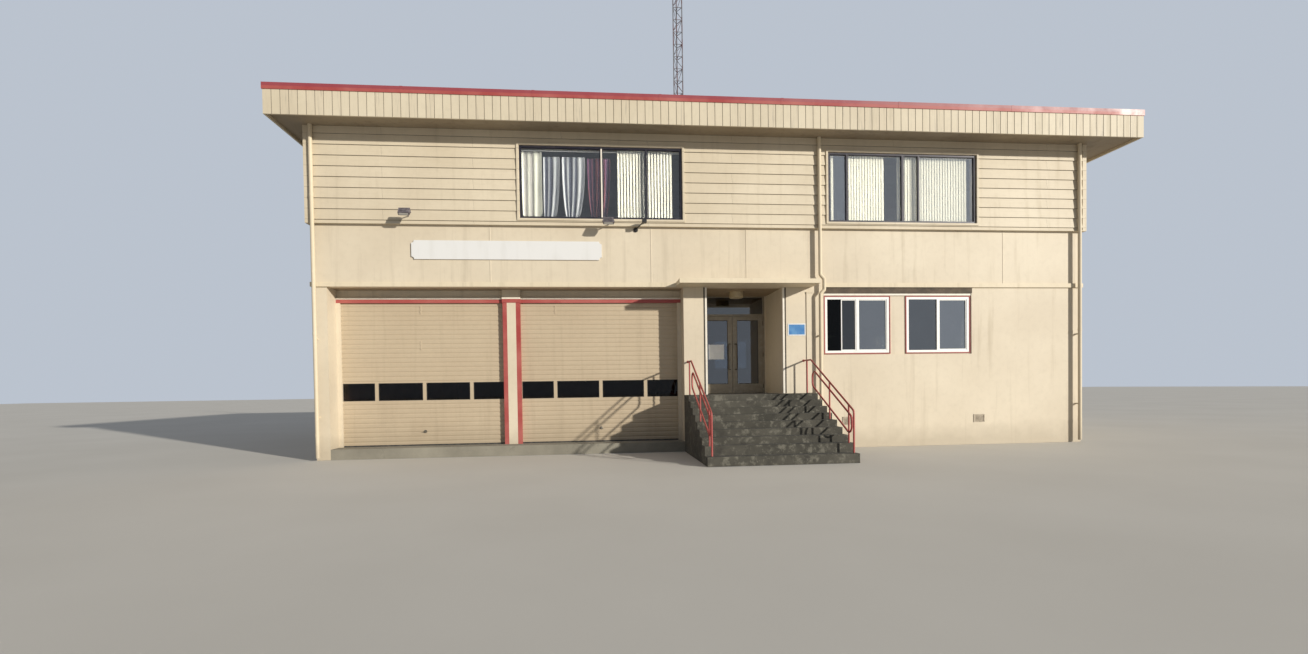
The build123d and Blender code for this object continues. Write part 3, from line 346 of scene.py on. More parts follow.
def soften(piece, width, segments=2):
    """Rounds the sharp edges."""
    apply_modifier(piece, "BEVEL", width=width, segments=segments, limit_method="ANGLE")


def new_block(name, low, high, edge=None):
    """A cube drawn out between two corners, as a start, with its edges rounded if a width is given."""
    made = start(bpy.ops.mesh.primitive_cube_add, name, [b - a for a, b in zip(low, high)],
                 size=1, location=[(a + b) / 2 for a, b in zip(low, high)])
    if edge:
        soften(made, edge)
    return made


def facing(x=0, y=0, z=0, limit=0.9, both=False):
    """A test for faces that look along one axis, or both ways along it."""
    def wanted(center, normal):
        along = normal.dot(Vector((x, y, z)))
        return (abs(along) if both else along) > limit
    return wanted


def pick(piece, wanted=lambda center, normal: True):
    """Opens edit mode with only those faces selected whose centre and normal pass the test."""
    bpy.ops.object.select_all(action="DESELECT")
    piece.select_set(True)
    bpy.context.view_layer.objects.active = piece
    bpy.ops.object.mode_set(mode="EDIT")
    bpy.ops.mesh.select_mode(type="FACE")
    bpy.ops.mesh.select_all(action="DESELECT")
    bpy.ops.object.mode_set(mode="OBJECT")
    for face in piece.data.polygons:
        face.select = wanted(face.center, face.normal)
    bpy.ops.object.mode_set(mode="EDIT")


def inset(thickness, depth=0.0):
    """Insets the selected faces."""
    bpy.ops.mesh.inset(thickness=thickness, depth=depth)


def slide(x=0, y=0, z=0):
    """Moves what is selected."""
    bpy.ops.transform.translate(value=(x, y, z))


def pull(x=0, y=0, z=0):
    """Extrudes the selected faces."""
    bpy.ops.mesh.extrude_region_move(TRANSFORM_OT_translate={"value": (x, y, z)})


def close_edit():
    """Goes back to object mode, so that the mesh takes the changes."""
    bpy.ops.object.mode_set(mode="OBJECT")


def shifted(x=0, y=0, z=0):
    """A place without a turn."""
    return Matrix.Translation((x, y, z))


def on_wall(wall, along, inward=0, height=0):
    """A place on a wall: x to the right as seen from outside, y inward from its face."""
    turns = {"front": 0, "back": 180, "left": -90, "right": 90}
    spots = {"front": (LEFT + along, FRONT), "back": (LEFT + along, BACK),
             "left": (LEFT, FRONT + along), "right": (RIGHT, FRONT + along)}
    turn = Matrix.Rotation(math.radians(turns[wall]), 4, "Z")
    return shifted(*spots[wall]) @ turn @ shifted(0, inward, height)


def copy_piece(piece, name, place):
    """A like piece in another place, with its own mesh."""
    made = piece.copy()
    made.data = piece.data.copy()
    made.name = name
    made.data.transform(place)
    bpy.context.collection.objects.link(made)
    return made


def set_out(piece, places):
    """Copies a modelled piece to its places and numbers them; the first is the piece itself."""
    name = piece.name
    made = [copy_piece(piece, f"{name}_{i}", place) for i, place in enumerate(places[1:], 2)]
    piece.data.transform(places[0])
    piece.name = f"{name}_1"
    return [piece] + made


def fit(pieces, finish, slot, body="building"):
    """Gives finished pieces their finish and fixes them to their body."""
    for piece in pieces:
        piece.data.materials.clear()
        piece.data.materials.append(finish)
        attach(piece, body)


batten = new_block("band_joint", (-0.015, -0.004, BAND_FOOT), (0.015, 0, BAND_HEAD))
pick(batten, facing(y=-1))
inset(0.006, 0.003)
close_edit()
BATTEN_PLACES = [on_wall(wall, x) for wall in ("front", "back") for x in (4.21, 8.21, 10.67, 17.70)]
BATTEN_PLACES += [on_wall(wall, y) for wall in ("left", "right") for y in (3.8, 7.6, 11.4)]
fit(set_out(batten, BATTEN_PLACES), wall_finish, "wall_panel")


# Porch corners
# Each corner of the porch opening is capped by a folded metal bead, with a flat dark strip
# beside it whose near-black is painted shade of a groove, and a flat cover board closes the
# wall at the end of the landing.
PORCH_CORNERS = (9.620, 11.620)
PORCH_FOOT, PORCH_HEAD = 1.455, 4.195
COVER_LEFT, COVER_RIGHT, COVER_HEAD = 12.245, 12.420, 4.030


def fit_at(place, piece, *fitting):
    """Moves one modelled piece to its place and fits it there."""
    piece.data.transform(place)
    fit([piece], *fitting)


def fit_at_corners(piece, finish, slot):
    """Sets a piece at the left corner of the porch and its mirror image at the right one."""
    mirrored = on_wall("front", PORCH_CORNERS[1]) @ Matrix.Diagonal((-1, 1, 1, 1))
    pair = set_out(piece, [on_wall("front", PORCH_CORNERS[0]), mirrored])
    pick(pair[1])
    bpy.ops.mesh.normals_make_consistent(inside=False)
    close_edit()
    fit(pair, finish, slot)


bead_finish = patchy_finish(
    "bead_paint", (0.80, 0.75, 0.66), (0.56, 0.50, 0.40), (5, 6, 0.7), (0.45, 0.75), 0.5, Roughness=0.45)
# The strip's near-black is painted shade, standing for the shade of a groove.
groove_shade_finish = patchy_finish(
    "painted_groove_shade", (0.045, 0.036, 0.028), (0.10, 0.085, 0.065), (30, 4, 0.5), (0.4, 0.7), Roughness=0.8)
front_wall = on_wall("front", 0)

bead = new_block("porch_bead", (-0.045, -0.005, PORCH_FOOT), (0.004, 0, PORCH_HEAD))
pick(bead)
bpy.ops.mesh.bisect(plane_co=(0, 0, 0), plane_no=(1, 0, 0))
close_edit()
pick(bead, lambda center, normal: normal.y > 0.9 and center.x > 0)
pull(y=0.060)
close_edit()
soften(bead, 0.0015)
fit_at_corners(bead, bead_finish, "cream_trim")

groove_painted_shade = new_block("porch_groove", (-0.084, -0.0015, PORCH_FOOT), (-0.0455, 0, PORCH_HEAD))
pick(groove_painted_shade, facing(y=-1))
inset(0.004, -0.001)
close_edit()
fit_at_corners(groove_painted_shade, groove_shade_finish, "wall_panel")

cover = new_block("porch_cover_board", (COVER_LEFT, -0.022, PORCH_FOOT), (COVER_RIGHT, 0, COVER_HEAD))
pick(cover, facing(z=1))
pull(z=0.05)
bpy.ops.transform.resize(value=(1.06, 1.6, 1),
                         center_override=((COVER_LEFT + COVER_RIGHT) / 2, 0, COVER_HEAD + 0.05))
close_edit()
soften(cover, 0.004)
fit_at(front_wall, cover, wall_finish, "wall_panel")


# Plate beside the porch
# A small enamelled plate with rounded corners, blue with a pale rim, screwed flat to the wall
# and left bare.
plate_blue = patchy_finish(
    "blue_enamel", (0.03, 0.16, 0.42), (0.08, 0.26, 0.52), (6, 5, 0.5), (0.35, 0.7), gloss=(0.3, 0.5))
plate_rim = patchy_finish(
    "plate_rim", (0.72, 0.75, 0.77), (0.52, 0.52, 0.50), (14, 5, 0.5), (0.4, 0.75), 0.5, Roughness=0.4)

plate = new_block("blue_plate", (11.748, -0.008, 2.948), (12.224, 0, 3.262), 0.003)
plate_front = facing(y=-1, limit=0.95)
pick(plate, plate_front)
inset(0.024)
pull(y=0.002)
close_edit()
fit_at(front_wall, plate, plate_rim, "white_board")
plate.data.materials.append(plate_blue)
for face in plate.data.polygons:
    if plate_front(face.center, face.normal) and face.area > 0.05:
        face.material_index = 1


# Foundation vents
# Cast louvres let air under the office floor, low in the wall. Each is a ring with sloped
# slats in front of a thin back plate, screwed on and painted.
VENT_HALF, VENT_FOOT, VENT_HEAD = 0.155, 0.600, 0.810
SLAT_HALF, SLAT_PITCH = 0.134, 0.026


def square_ring(name, low, high, rim, edge=None, segments=1):
    """An upright ring: a block whose front and back are inset and bridged through."""
    made = new_block(name, low, high)
    pick(made, facing(y=1, both=True))
    inset(rim)
    bpy.ops.mesh.bridge_edge_loops()
    close_edit()
    if edge:
        soften(made, edge, segments)
    return made


def join(name, pieces):
    """Makes one piece of several."""
    bpy.ops.object.select_all(action="DESELECT")
    for piece in pieces:
        piece.select_set(True)
    bpy.context.view_layer.objects.active = pieces[0]
    bpy.ops.object.join()
    pieces[0].name = name
    return pieces[0]


vent_finish = patchy_finish(
    "vent_paint", (0.42, 0.36, 0.28), (0.24, 0.20, 0.15), (12, 6, 0.5), (0.4, 0.7), Metallic=0.2,
    Roughness=0.6)
vent_parts = [square_ring("vent_ring", (-VENT_HALF, -0.014, VENT_FOOT), (VENT_HALF, 0, VENT_HEAD), 0.022)]
for i in range(6):
    z = VENT_FOOT + 0.032 + i * SLAT_PITCH
    slat = new_block("vent_slat", (-SLAT_HALF, -0.010, z), (SLAT_HALF, 0, z + 0.005))
    pick(slat, facing(y=-1))
    slide(z=-0.012)
    close_edit()
    vent_parts.append(slat)
vent_back = new_block("vent_back", (-SLAT_HALF, -0.0012, VENT_FOOT + 0.021),
                      (SLAT_HALF, 0, VENT_HEAD - 0.021))
pick(vent_back, facing(y=-1))
inset(0.004, -0.0005)
close_edit()
VENT_PLACES = [on_wall(wall, along) for wall, along in (
    ("front", 13.355), ("front", 17.0), ("right", 5.2), ("right", 10.0), ("back", 13.355), ("back", 17.0))]
vent = join("foundation_vent", vent_parts + [vent_back])
fit(set_out(vent, VENT_PLACES), vent_finish, "wall_panel")


# Upper floor
# A floor of narrow varnished boards nailed across the joists between the storeys. It is seen
# only through the windows.
boards = patchy_finish(
    "floor_boards", (0.26, 0.19, 0.12), (0.40, 0.31, 0.21), (3, 6, 0.5), (0.3, 0.7),
    stretch=(1.0, 8.0, 1.0), Roughness=0.6)
dress(["upper_floor"], boards)


# Lap siding
# Overlapping boards nailed along the upper storey and painted as the walls are. The grain
# shows through the paint, and boards meet end to end in fine butt joints.
SIDING_FOOT, COURSE_HEIGHT, BOARD_LENGTH = 5.8, 0.256, 4.3
NO_SPLASH = 0.001
siding_finish, tree = new_finish("siding_paint")
paint = old_paint(tree, (0.59, 0.51, 0.385), (0.69, 0.61, 0.475), (0.38, 0.32, 0.23),
                  0.9, 0.3, NO_SPLASH)
axes = object_axes(tree)
run = combine(tree, "ADD", axes["X"], axes["Y"])
course = combine(tree, "SUBTRACT", axes["Z"], SIDING_FOOT)
unrolled = add_node(tree, "CombineXYZ", {"X": run, "Y": course}).outputs["Vector"]
joints = add_node(tree, "TexBrick", {
    "Vector": unrolled, "Scale": 1.0, "Mortar Size": 0.002, "Mortar Smooth": 0.0,
    "Brick Width": BOARD_LENGTH, "Row Height": COURSE_HEIGHT,
    "Color1": (0, 0, 0), "Color2": (1, 1, 1), "Mortar": (0.5, 0.5, 0.5)}).outputs
board_tone = spread(tree, joints["Color"], 0, 1, 0.0, 0.22)
color = blend_color(tree, board_tone, paint["Color"], (0.52, 0.44, 0.31))
grain_place = add_node(tree, "CombineXYZ", {
    "X": times(tree, run, 1.2), "Y": times(tree, axes["Z"], 42.0)})
grain = noise(tree, grain_place.outputs["Vector"], 1.0, 6, 0.6)
color = blend_color(tree, spread(tree, grain, 0.5, 0.75, 0, 0.22), color, (0.42, 0.35, 0.25))
butt = spread(tree, joints["Fac"], 0, 1, 0.0, 0.75)
color = blend_color(tree, butt, color, (0.16, 0.13, 0.10))
relief = combine(tree, "ADD", times(tree, grain, 0.8), times(tree, butt, -1.5))
join_shader(tree, color, paint["Roughness"], relief, 0.002)
dress(["lap_siding"], siding_finish)


# Belt course, canopy and soffit
# Flat boards and plywood sheets, nailed up and painted with the walls. The soffit's darker,
# greyer brown is painted shade, the shade under the eaves.
trim_finish = paint_finish(
    "trim_paint", (0.64, 0.55, 0.40), (0.72, 0.63, 0.48), (0.36, 0.31, 0.23), 0.9, 0.5, NO_SPLASH)
dress(["belt_course", "porch_canopy"], trim_finish)
# The soffit's colours are painted shade of the eaves.
soffit_painted_shade = paint_finish(
    "painted_soffit_shade", (0.27, 0.215, 0.15), (0.33, 0.27, 0.19), (0.15, 0.125, 0.09), 0.9, 0.4, NO_SPLASH)
dress(["roof_soffit"], soffit_painted_shade)


# Fascia boards
# Upright tongue-and-groove boards round the roof's edge. Each board has weathered by itself:
# some are chalky, and some let grey wood show in long streaks. The grooves are painted dark,
# as painted shade.
EAVE_LEFT, EAVE_FRONT = LEFT - 0.630, FRONT - 0.820
FRONT_PITCH, SIDE_PITCH = 21.66 / 115, 16.88 / 90
fascia_finish, tree = new_finish("fascia_paint")
paint = old_paint(tree, (0.585, 0.51, 0.38), (0.69, 0.615, 0.475), (0.33, 0.295, 0.23),
                  0.8, 0.2, NO_SPLASH)
axes = object_axes(tree)
outward = add_node(tree, "NewGeometry").outputs["Normal"]
normal_axes = add_node(tree, "SeparateXYZ", {"Vector": outward}).outputs
turned = [combine(tree, "ABSOLUTE", normal_axes[axis]) for axis in "XY"]
across = combine(tree, "DIVIDE", combine(tree, "SUBTRACT", axes["X"], EAVE_LEFT), FRONT_PITCH)
along = combine(tree, "DIVIDE", combine(tree, "SUBTRACT", axes["Y"], EAVE_FRONT), SIDE_PITCH)
sideways = combine(tree, "GREATER_THAN", turned[0], 0.8)
turn_round = combine(tree, "SUBTRACT", along, across)
count = combine(tree, "ADD", across, times(tree, sideways, turn_round))
tone = add_node(tree, "TexWhiteNoise", {"W": combine(tree, "FLOOR", count)},
                noise_dimensions="1D").outputs["Value"]
color = blend_color(tree, spread(tree, tone, 0, 1, 0.0, 0.45), paint["Color"], (0.56, 0.48, 0.36))
bare = spread(tree, noise(tree, object_place(tree, (22.0, 22.0, 1.3)), 1.0, 6, 0.65), 0.52, 0.70)
bare = times(tree, bare, spread(tree, tone, 0.45, 1.0, 0.1, 0.8))
color = blend_color(tree, bare, color, (0.30, 0.27, 0.22))
# Faces turned into the grooves are darkened: painted shade.
groove_painted_shade = combine(tree, "GREATER_THAN", combine(tree, "MINIMUM", *turned), 0.3)
color = blend_color(tree, times(tree, groove_painted_shade, 0.85), color, (0.13, 0.10, 0.07))
join_shader(tree, color, paint["Roughness"], times(tree, bare, -1.0), 0.0015)
dress(["roof_fascia"], fascia_finish)


# Roof covering
# Mineral-faced felt laid in rolls across the roof and bonded down. The rolls lap over each
# other in dark seams a metre apart.
felt, tree = new_finish("roof_felt", Roughness=0.95)
color, _ = patches(tree, (0.17, 0.165, 0.16), (0.25, 0.245, 0.235), (0.5, 5, 0.5), (0.35, 0.65))
color, _ = patches(tree, color, (0.36, 0.35, 0.33), (120, 2, 0.5), (0.45, 0.6), 0.5)  # mineral grains
seam = spread(tree, combine(tree, "PINGPONG", object_axes(tree)["Y"], 0.5), 0.0, 0.02, 0.7, 0.0)
color = blend_color(tree, seam, color, (0.08, 0.08, 0.08))
gravel = combine(tree, "ADD", noise(tree, object_place(tree), 120, 2), times(tree, seam, -1.0))
join_shader(tree, color, None, gravel, 0.003)
dress(["roof_deck"], felt)


# Red metal: roof edge, bay door trim and railings
# Sheet and pipe under red enamel, which the sun has turned pink in patches. Along the top of
# the roof edge it is darker, and paler pink toward the right; rust comes through at scratches.
red_finish, tree = new_finish("red_enamel")
axes = object_axes(tree)
color, fade = patches(tree, (0.33, 0.047, 0.043), (0.41, 0.108, 0.093), (1.1, 5, 0.6), (0.36, 0.66))
edge_top = spread(tree, axes["Z"], 8.585, 8.600)
color = blend_color(tree, times(tree, edge_top, 0.7), color, (0.25, 0.040, 0.060))
rightward = combine(tree, "ADD", axes["X"], times(tree, fade, 4.0))
bleached = times(tree, spread(tree, rightward, 2.0, 14.0), edge_top)
color = blend_color(tree, times(tree, bleached, 0.55), color, (0.42, 0.24, 0.24))
color, chips = patches(tree, color, (0.16, 0.06, 0.035), (14, 7, 0.75), (0.64, 0.70), 0.8)
gloss = spread(tree, fade, 0, 1, 0.38, 0.62)
join_shader(tree, color, gloss, times(tree, chips, -1.0), 0.0008)
dress(["roof_edge", "garage_door_trim", "left_railing", "right_railing"], red_finish)


# Roof edge joints
# Short covers of the same red sheet lap over the joints between the lengths of roof edge and
# are riveted to them.
EDGE_FOOT, EDGE_HEAD = 8.519, 8.674

joint_cover = new_block("edge_joint", (-0.035, -0.841, EDGE_FOOT), (0.035, -0.770, EDGE_HEAD))
pick(joint_cover, facing(z=1))
inset(0.004)
slide(z=0.001)
close_edit()
EDGE_JOINTS = [on_wall(wall, x) for wall in ("front", "back") for x in (2.4, 5.4, 8.4, 11.4, 14.4, 17.4)]
EDGE_JOINTS += [on_wall(wall, y, inward) for wall, inward in (("left", 0.190), ("right", -0.270))
                for y in (1.6, 4.6, 7.6, 10.6, 13.6)]
fit(set_out(joint_cover, EDGE_JOINTS), red_finish, "red_metal")


# Head of the bays
# A red head board runs on across the middle post, under a folded white drip strip, and a
# painted board closes the wall over the post.
DOOR_FACE = 0.580
DRIP_FOOT, DRIP_HEAD = 3.972, 4.012
POST_LEFT, POST_RIGHT = 4.408, 4.872
drip_finish = patchy_finish(
    "drip_strip_paint", (0.80, 0.74, 0.64), (0.50, 0.44, 0.34), (3, 6, 0.7), (0.45, 0.8), 0.6, (1.5, 6, 6),
    Roughness=0.45)

for name, x0, x1, y in (("left", 0.326, POST_LEFT - 0.002, 0.502), ("post", POST_LEFT, POST_RIGHT, 0.430),
                        ("right", POST_RIGHT + 0.002, 9.018, 0.502)):
    strip = new_block(f"bay_drip_{name}", (x0, y, DRIP_FOOT), (x1, DOOR_FACE, DRIP_HEAD))
    pick(strip, facing(y=-1))
    slide(z=-0.006)
    inset(0.007, 0.002)
    close_edit()
    fit_at(front_wall, strip, drip_finish, "cream_trim")

post_head = new_block("bay_post_head", (POST_LEFT, 0.438, DRIP_FOOT - 0.100),
                      (POST_RIGHT, 0.452, DRIP_FOOT - 0.001), 0.003)
fit_at(front_wall, post_head, red_finish, "red_metal")
post_cap = new_block("bay_post_cap", (POST_LEFT + 0.006, 0.444, DRIP_HEAD + 0.001),
                     (POST_RIGHT - 0.006, DOOR_FACE, 4.199), 0.003)
fit_at(front_wall, post_cap, wall_finish, "wall_panel")


# Railing feet
# Each post is set in the concrete and closed off by a small collar of grout, and each top rail
# meets the wall in a round rose.
RAIL_LINES, RAIL_HEIGHT = (9.115, 12.165), 2.295
POST_STANDS = ((0.250, 1.450), (1.760, 0.850), (3.100, 0.200))
TIPPED = Matrix.Rotation(math.pi / 2, 4, "X")  # lays what faces up against the wall


def new_tube(name, foot, tip, radius, sides=24):
    """A cylinder drawn out between two points, as a start."""
    line = Vector(tip) - Vector(foot)
    return start(bpy.ops.mesh.primitive_cylinder_add, name, vertices=sides, radius=radius,
                 depth=line.length, location=Vector(foot) + line / 2,
                 rotation=line.to_track_quat("Z", "Y").to_euler())


collar = new_tube("rail_collar", (0, 0, 0), (0, 0, 0.005), 0.034)
pick(collar, facing(z=1))
inset(0.011)
pull(z=0.008)
bpy.ops.transform.resize(value=(0.93, 0.93, 1))
close_edit()
soften(collar, 0.0015)
roses = [copy_piece(collar, f"rail_rose_{side}", shifted(LEFT + x, FRONT, RAIL_HEIGHT) @ TIPPED)
         for side, x in zip(("left", "right"), RAIL_LINES)]
fit(roses, red_finish, "red_metal")
COLLAR_PLACES = [shifted(LEFT + x, FRONT - y, z) for x in RAIL_LINES for y, z in POST_STANDS]
fit(set_out(collar, COLLAR_PLACES), concrete, "concrete")


# Bay doors
# Sectional doors of ribbed steel sheet in tan paint, with a row of lites in rubber gaskets and
# a rubber seal along the foot. Dust and wheel spray lie in the ribs near the ground.
LITE_FOOT, LITE_HEAD = 1.412, 1.858
LITE_EDGES = (1.219, 1.131, 0.044)
SEAL_FOOT, SEAL_HEAD = 0.256, 0.290
BAY_DOORS = {"left": (2.418, 2.027), "right": (6.894, 2.059)}
door_finish = paint_finish(
    "bay_door_paint", (0.46, 0.37, 0.26), (0.51, 0.42, 0.30), (0.30, 0.24, 0.165), 0.8, 0.3, 0.9,
    relief=0.0006)
dress(["garage_door_left", "garage_door_right"], door_finish)
rubber = patchy_finish(
    "black_rubber", (0.022, 0.021, 0.020), (0.075, 0.068, 0.058), (12, 5, 0.5), (0.4, 0.75), Roughness=0.75)

for name, (center, half) in BAY_DOORS.items():
    outer, middle, inner = LITE_EDGES
    end = half - 0.033
    rubbers = [square_ring("lite_gasket", (center + x0, DOOR_FACE - 0.003, LITE_FOOT),
                           (center + x1, DOOR_FACE + 0.020, LITE_HEAD), 0.012, 0.002)
               for x0, x1 in ((-end, -outer), (-middle, -inner), (inner, middle), (outer, end))]
    seal = new_block("door_seal", (center - half + 0.027, DOOR_FACE - 0.012, SEAL_FOOT),
                     (center + half - 0.027, DOOR_FACE + 0.008, SEAL_HEAD))
    pick(seal, facing(z=1))
    bpy.ops.transform.resize(value=(1, 0.4, 1), center_override=(center, DOOR_FACE + 0.008, SEAL_HEAD))
    close_edit()
    fit_at(front_wall, join(f"bay_door_rubbers_{name}", rubbers + [seal]), rubber, "door_sheet")


# Bay door locks and brackets
# A T-handle lock of cast metal low in each door, and steel brackets, each held by three bolts
# through the upper sections and painted with them.
LOCK_HEIGHT = 0.615
BRACKET_SPOTS = ((2.357, 3.705), (2.349, 2.806), (5.740, 3.705))
lock_metal = patchy_finish(
    "lock_metal", (0.16, 0.14, 0.11), (0.34, 0.31, 0.26), (40, 5, 0.5), (0.4, 0.7), gloss=(0.35, 0.6),
    Metallic=0.8)

rose = new_tube("lock_rose", (0, 0.004, 0), (0, -0.012, 0), 0.040)
pick(rose, facing(y=-1))
inset(0.022)
pull(y=-0.030)
close_edit()
soften(rose, 0.003)
handle = new_block("lock_handle", (-0.055, -0.056, -0.010), (0.055, -0.040, 0.010))
pick(handle, facing(x=1, both=True))
bpy.ops.transform.resize(value=(1, 0.7, 0.6))
close_edit()
soften(handle, 0.004)
LOCK_PLACES = [on_wall("front", x, DOOR_FACE, LOCK_HEIGHT) for x, _ in BAY_DOORS.values()]
fit(set_out(join("bay_lock", [rose, handle]), LOCK_PLACES), lock_metal, "door_sheet")

bracket_parts = [new_block("strut_bracket", (-0.022, -0.006, -0.115), (0.022, 0.004, 0.115), 0.003)]
for z in (-0.085, 0.0, 0.085):
    bolt = new_tube("bracket_bolt", (0, -0.004, z), (0, -0.014, z), 0.011, 6)
    soften(bolt, 0.0015, 1)
    bracket_parts.append(bolt)
BRACKET_PLACES = [on_wall("front", x, DOOR_FACE, z) for x, z in BRACKET_SPOTS]
fit(set_out(join("strut_bracket", bracket_parts), BRACKET_PLACES), door_finish, "door_sheet")


# Window and door glass
# The upper windows hold clear float glass, the lower windows a coated glass that throws back the
# sky, and the entry leaves a dark tinted one. Dust lies on all, most of all on the bays' lites.
def glazing(name, ior, clean, dusty, panes=()):
    """Glass that lets the light of the lamps straight through; panes are (from x, index) pairs."""
    finish, tree = new_finish(name, Metallic=0.0, Transmission_Weight=1.0, IOR=ior)
    shader = tree.nodes["Principled BSDF"]
    index, last = ior, ior
    for x, level in panes:
        step = spread(tree, object_axes(tree)["X"], LEFT + x, LEFT + x + 0.01, 0.0, level - last)
        index = combine(tree, "ADD", index, step)
        last = level
    if panes:
        tree.links.new(index, shader.inputs["IOR"])
    color, dust = patches(tree, clean, dusty, (2, 5, 0.5), (0.4, 0.7))
    join_shader(tree, color, spread(tree, dust, 0, 1, 0.012, 0.05))
    shadow = add_node(tree, "LightPath").outputs["Is Shadow Ray"]
    clear = add_node(tree, "BsdfTransparent", {"Color": clean})
    mix = add_node(tree, "MixShader", {
        0: shadow, 1: shader.outputs["BSDF"], 2: clear.outputs["BSDF"]})
    tree.links.new(mix.outputs["Shader"], tree.nodes["Material Output"].inputs["Surface"])
    return finish


FLOAT_TONES = (0.92, 0.93, 0.92), (0.86, 0.87, 0.855)
UPPER_PANES = ((12.7, 2.8), (13.330, 2.2), (15.320, 2.8))
LOWER_PANES = ((12.7, 1.25), (13.195, 1.9), (13.640, 3.3), (14.8, 2.6), (15.875, 3.8))
dress(["front_upper_window_glass"], glazing("front_float_glass", 1.65, *FLOAT_TONES, UPPER_PANES))
dress(["left_window_glass", "right_window_glass", "back_window_glass"],
      glazing("float_glass", 2.2, *FLOAT_TONES))
dress(["front_lower_window_glass", "transom_glass"],
      glazing("coated_glass", 2.2, (0.05, 0.065, 0.065), (0.09, 0.10, 0.10), LOWER_PANES))
dress(["garage_door_glass"], glazing("dusty_glass", 1.28, (0.24, 0.20, 0.19), (0.30, 0.25, 0.24)))
dress(["left_leaf_glass", "right_leaf_glass"],
      glazing("door_glass", 2.2, (0.035, 0.055, 0.085), (0.06, 0.085, 0.12)))


# Upper windows and entry frames
# Aluminium sections. The windows are anodised dark bronze, and the entry a lighter brown that
# has gone chalky. Each window has a painted casing nailed round it, and each pane its sash.
LEAF_FACE = 1.628
UPPER_FOOT, UPPER_HEAD, UPPER_HALF = 5.875, 7.675, 2.025
SASH_MARGIN = 0.048
SASH_END = UPPER_HALF - SASH_MARGIN


def anodised(name, dark, rubbed, metallic, pulls=None):
    """Anodised metal, with its own colour for what stands out in front of the leaves."""
    finish, tree = new_finish(name, Metallic=metallic)
    color, rub = patches(tree, dark, rubbed, (9, 6, 0.7), (0.45, 0.7))
    if pulls:
        behind = spread(tree, object_axes(tree)["Y"], FRONT + LEAF_FACE, FRONT + LEAF_FACE + 0.006)
        color = blend_color(tree, behind, pulls, color)
    join_shader(tree, color, spread(tree, rub, 0, 1, 0.36, 0.52))
    return finish


def ring_row(name, place, spans, front, back, foot, head, rim, *fitting):
    """The sashes of one window, each a thin mitred ring between two places along it."""
    rings = [square_ring("sash", (x0, front, foot), (x1, back, head), rim, 0.002) for x0, x1 in spans]
    fit_at(place, join(name, rings), *fitting)


bronze = anodised("bronze_anodised", (0.016, 0.015, 0.026), (0.036, 0.031, 0.042), 0.2)
taupe = anodised("brown_anodised", (0.27, 0.235, 0.18), (0.36, 0.32, 0.25), 0.15, (0.045, 0.038, 0.032))
dress([f"{wall}_window_frames" for wall in ("front_upper", "left", "right", "back")], bronze)
dress(["entry_frame", "left_leaf", "right_leaf"], taupe)

UNEQUAL_PANES = ((-SASH_END, -1.539), (-1.497, -0.030), (0.030, 0.416), (0.458, SASH_END))
EQUAL_PANES = ((-SASH_END, -1.033), (-0.991, -0.030), (0.030, 0.991), (1.033, SASH_END))
UPPER_WINDOWS = {
    "front_1": (on_wall("front", 6.985), ((-SASH_END, -0.030), (0.030, SASH_END))),
    "front_2": (on_wall("front", 14.860), UNEQUAL_PANES),
    "left": (on_wall("left", 7.6), EQUAL_PANES), "right": (on_wall("right", 7.6), EQUAL_PANES),
    "back_1": (on_wall("back", 6.985), EQUAL_PANES), "back_2": (on_wall("back", 14.860), EQUAL_PANES)}
casing = square_ring("window_casing", (-UPPER_HALF - 0.064, -0.122, UPPER_FOOT - 0.050),
                     (UPPER_HALF + 0.064, -0.076, UPPER_HEAD + 0.060), 0.054, 0.003, 2)
CASINGS = [place for place, _ in UPPER_WINDOWS.values()]
fit(set_out(casing, CASINGS), siding_finish, "cream_trim")
for name, (place, spans) in UPPER_WINDOWS.items():
    ring_row(f"sashes_{name}", place, spans, -0.062, -0.036, UPPER_FOOT + SASH_MARGIN,
             UPPER_HEAD - SASH_MARGIN, 0.012, bronze, "bronze_metal")

mullion_cap = new_block("mullion_cap", (-0.018, -0.086, UPPER_FOOT + 0.049),
                        (0.018, -0.075, UPPER_HEAD - 0.049), 0.003)
fit_at(UPPER_WINDOWS["front_1"][0], mullion_cap, bead_finish, "bronze_metal")


# Vertical blinds
# Woven vanes hang from a rail at the head of each window, less than a hand apart and turned a
# little, so that each nearly meets the next. Those of the left window have gone grey.
BLIND_FOOT, BLIND_HEAD, RAIL_HEAD = 5.957, 7.630, 7.674
VANE_PITCH = 0.075


def vane_cloth(name, thread, gap):
    """Woven fabric in the colours of its threads and of what lies between them."""
    finish, tree = new_finish(name, Roughness=0.85)
    color, weave = patches(tree, thread, gap, (1, 2, 0.5), (0.3, 0.7), 0.5, (160, 160, 30))
    join_shader(tree, color, None, weave, 0.0003)
    return finish


def vertical_blind(name, x0, x1, width, lean, cloth):
    """A row of hung vanes, each bowed a little and turned by its lean, under a head rail."""
    count = max(2, round((x1 - x0) / VANE_PITCH))
    pitch = (x1 - x0 - width) / (count - 1)
    vane = new_block("vane", (-width / 2, -0.0008, BLIND_FOOT), (width / 2, 0.0008, BLIND_HEAD))
    for cut in (-0.25, 0.25):
        pick(vane)
        bpy.ops.mesh.bisect(plane_co=(cut * width, 0, 0), plane_no=(1, 0, 0))
        close_edit()
    pick(vane, lambda center, normal: abs(normal.y) > 0.9 and abs(center.x) < 0.2 * width)
    slide(y=-0.004)
    close_edit()
    vane.data.transform(Matrix.Rotation(math.asin(lean / width), 4, "Z"))
    hung = set_out(vane, [shifted(x0 + width / 2 + i * pitch, 0.061, 0) for i in range(count)])
    rail = new_block("head_rail", (x0, 0.046, BLIND_HEAD + 0.001), (x1, 0.074, RAIL_HEAD))
    pick(rail, facing(z=-1))
    inset(0.009)
    pull(z=0.012)
    close_edit()
    blind = join(name, hung + [rail])
    fit_at(front_wall, blind, cloth, "blind_slats")
    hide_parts("window_blinds")


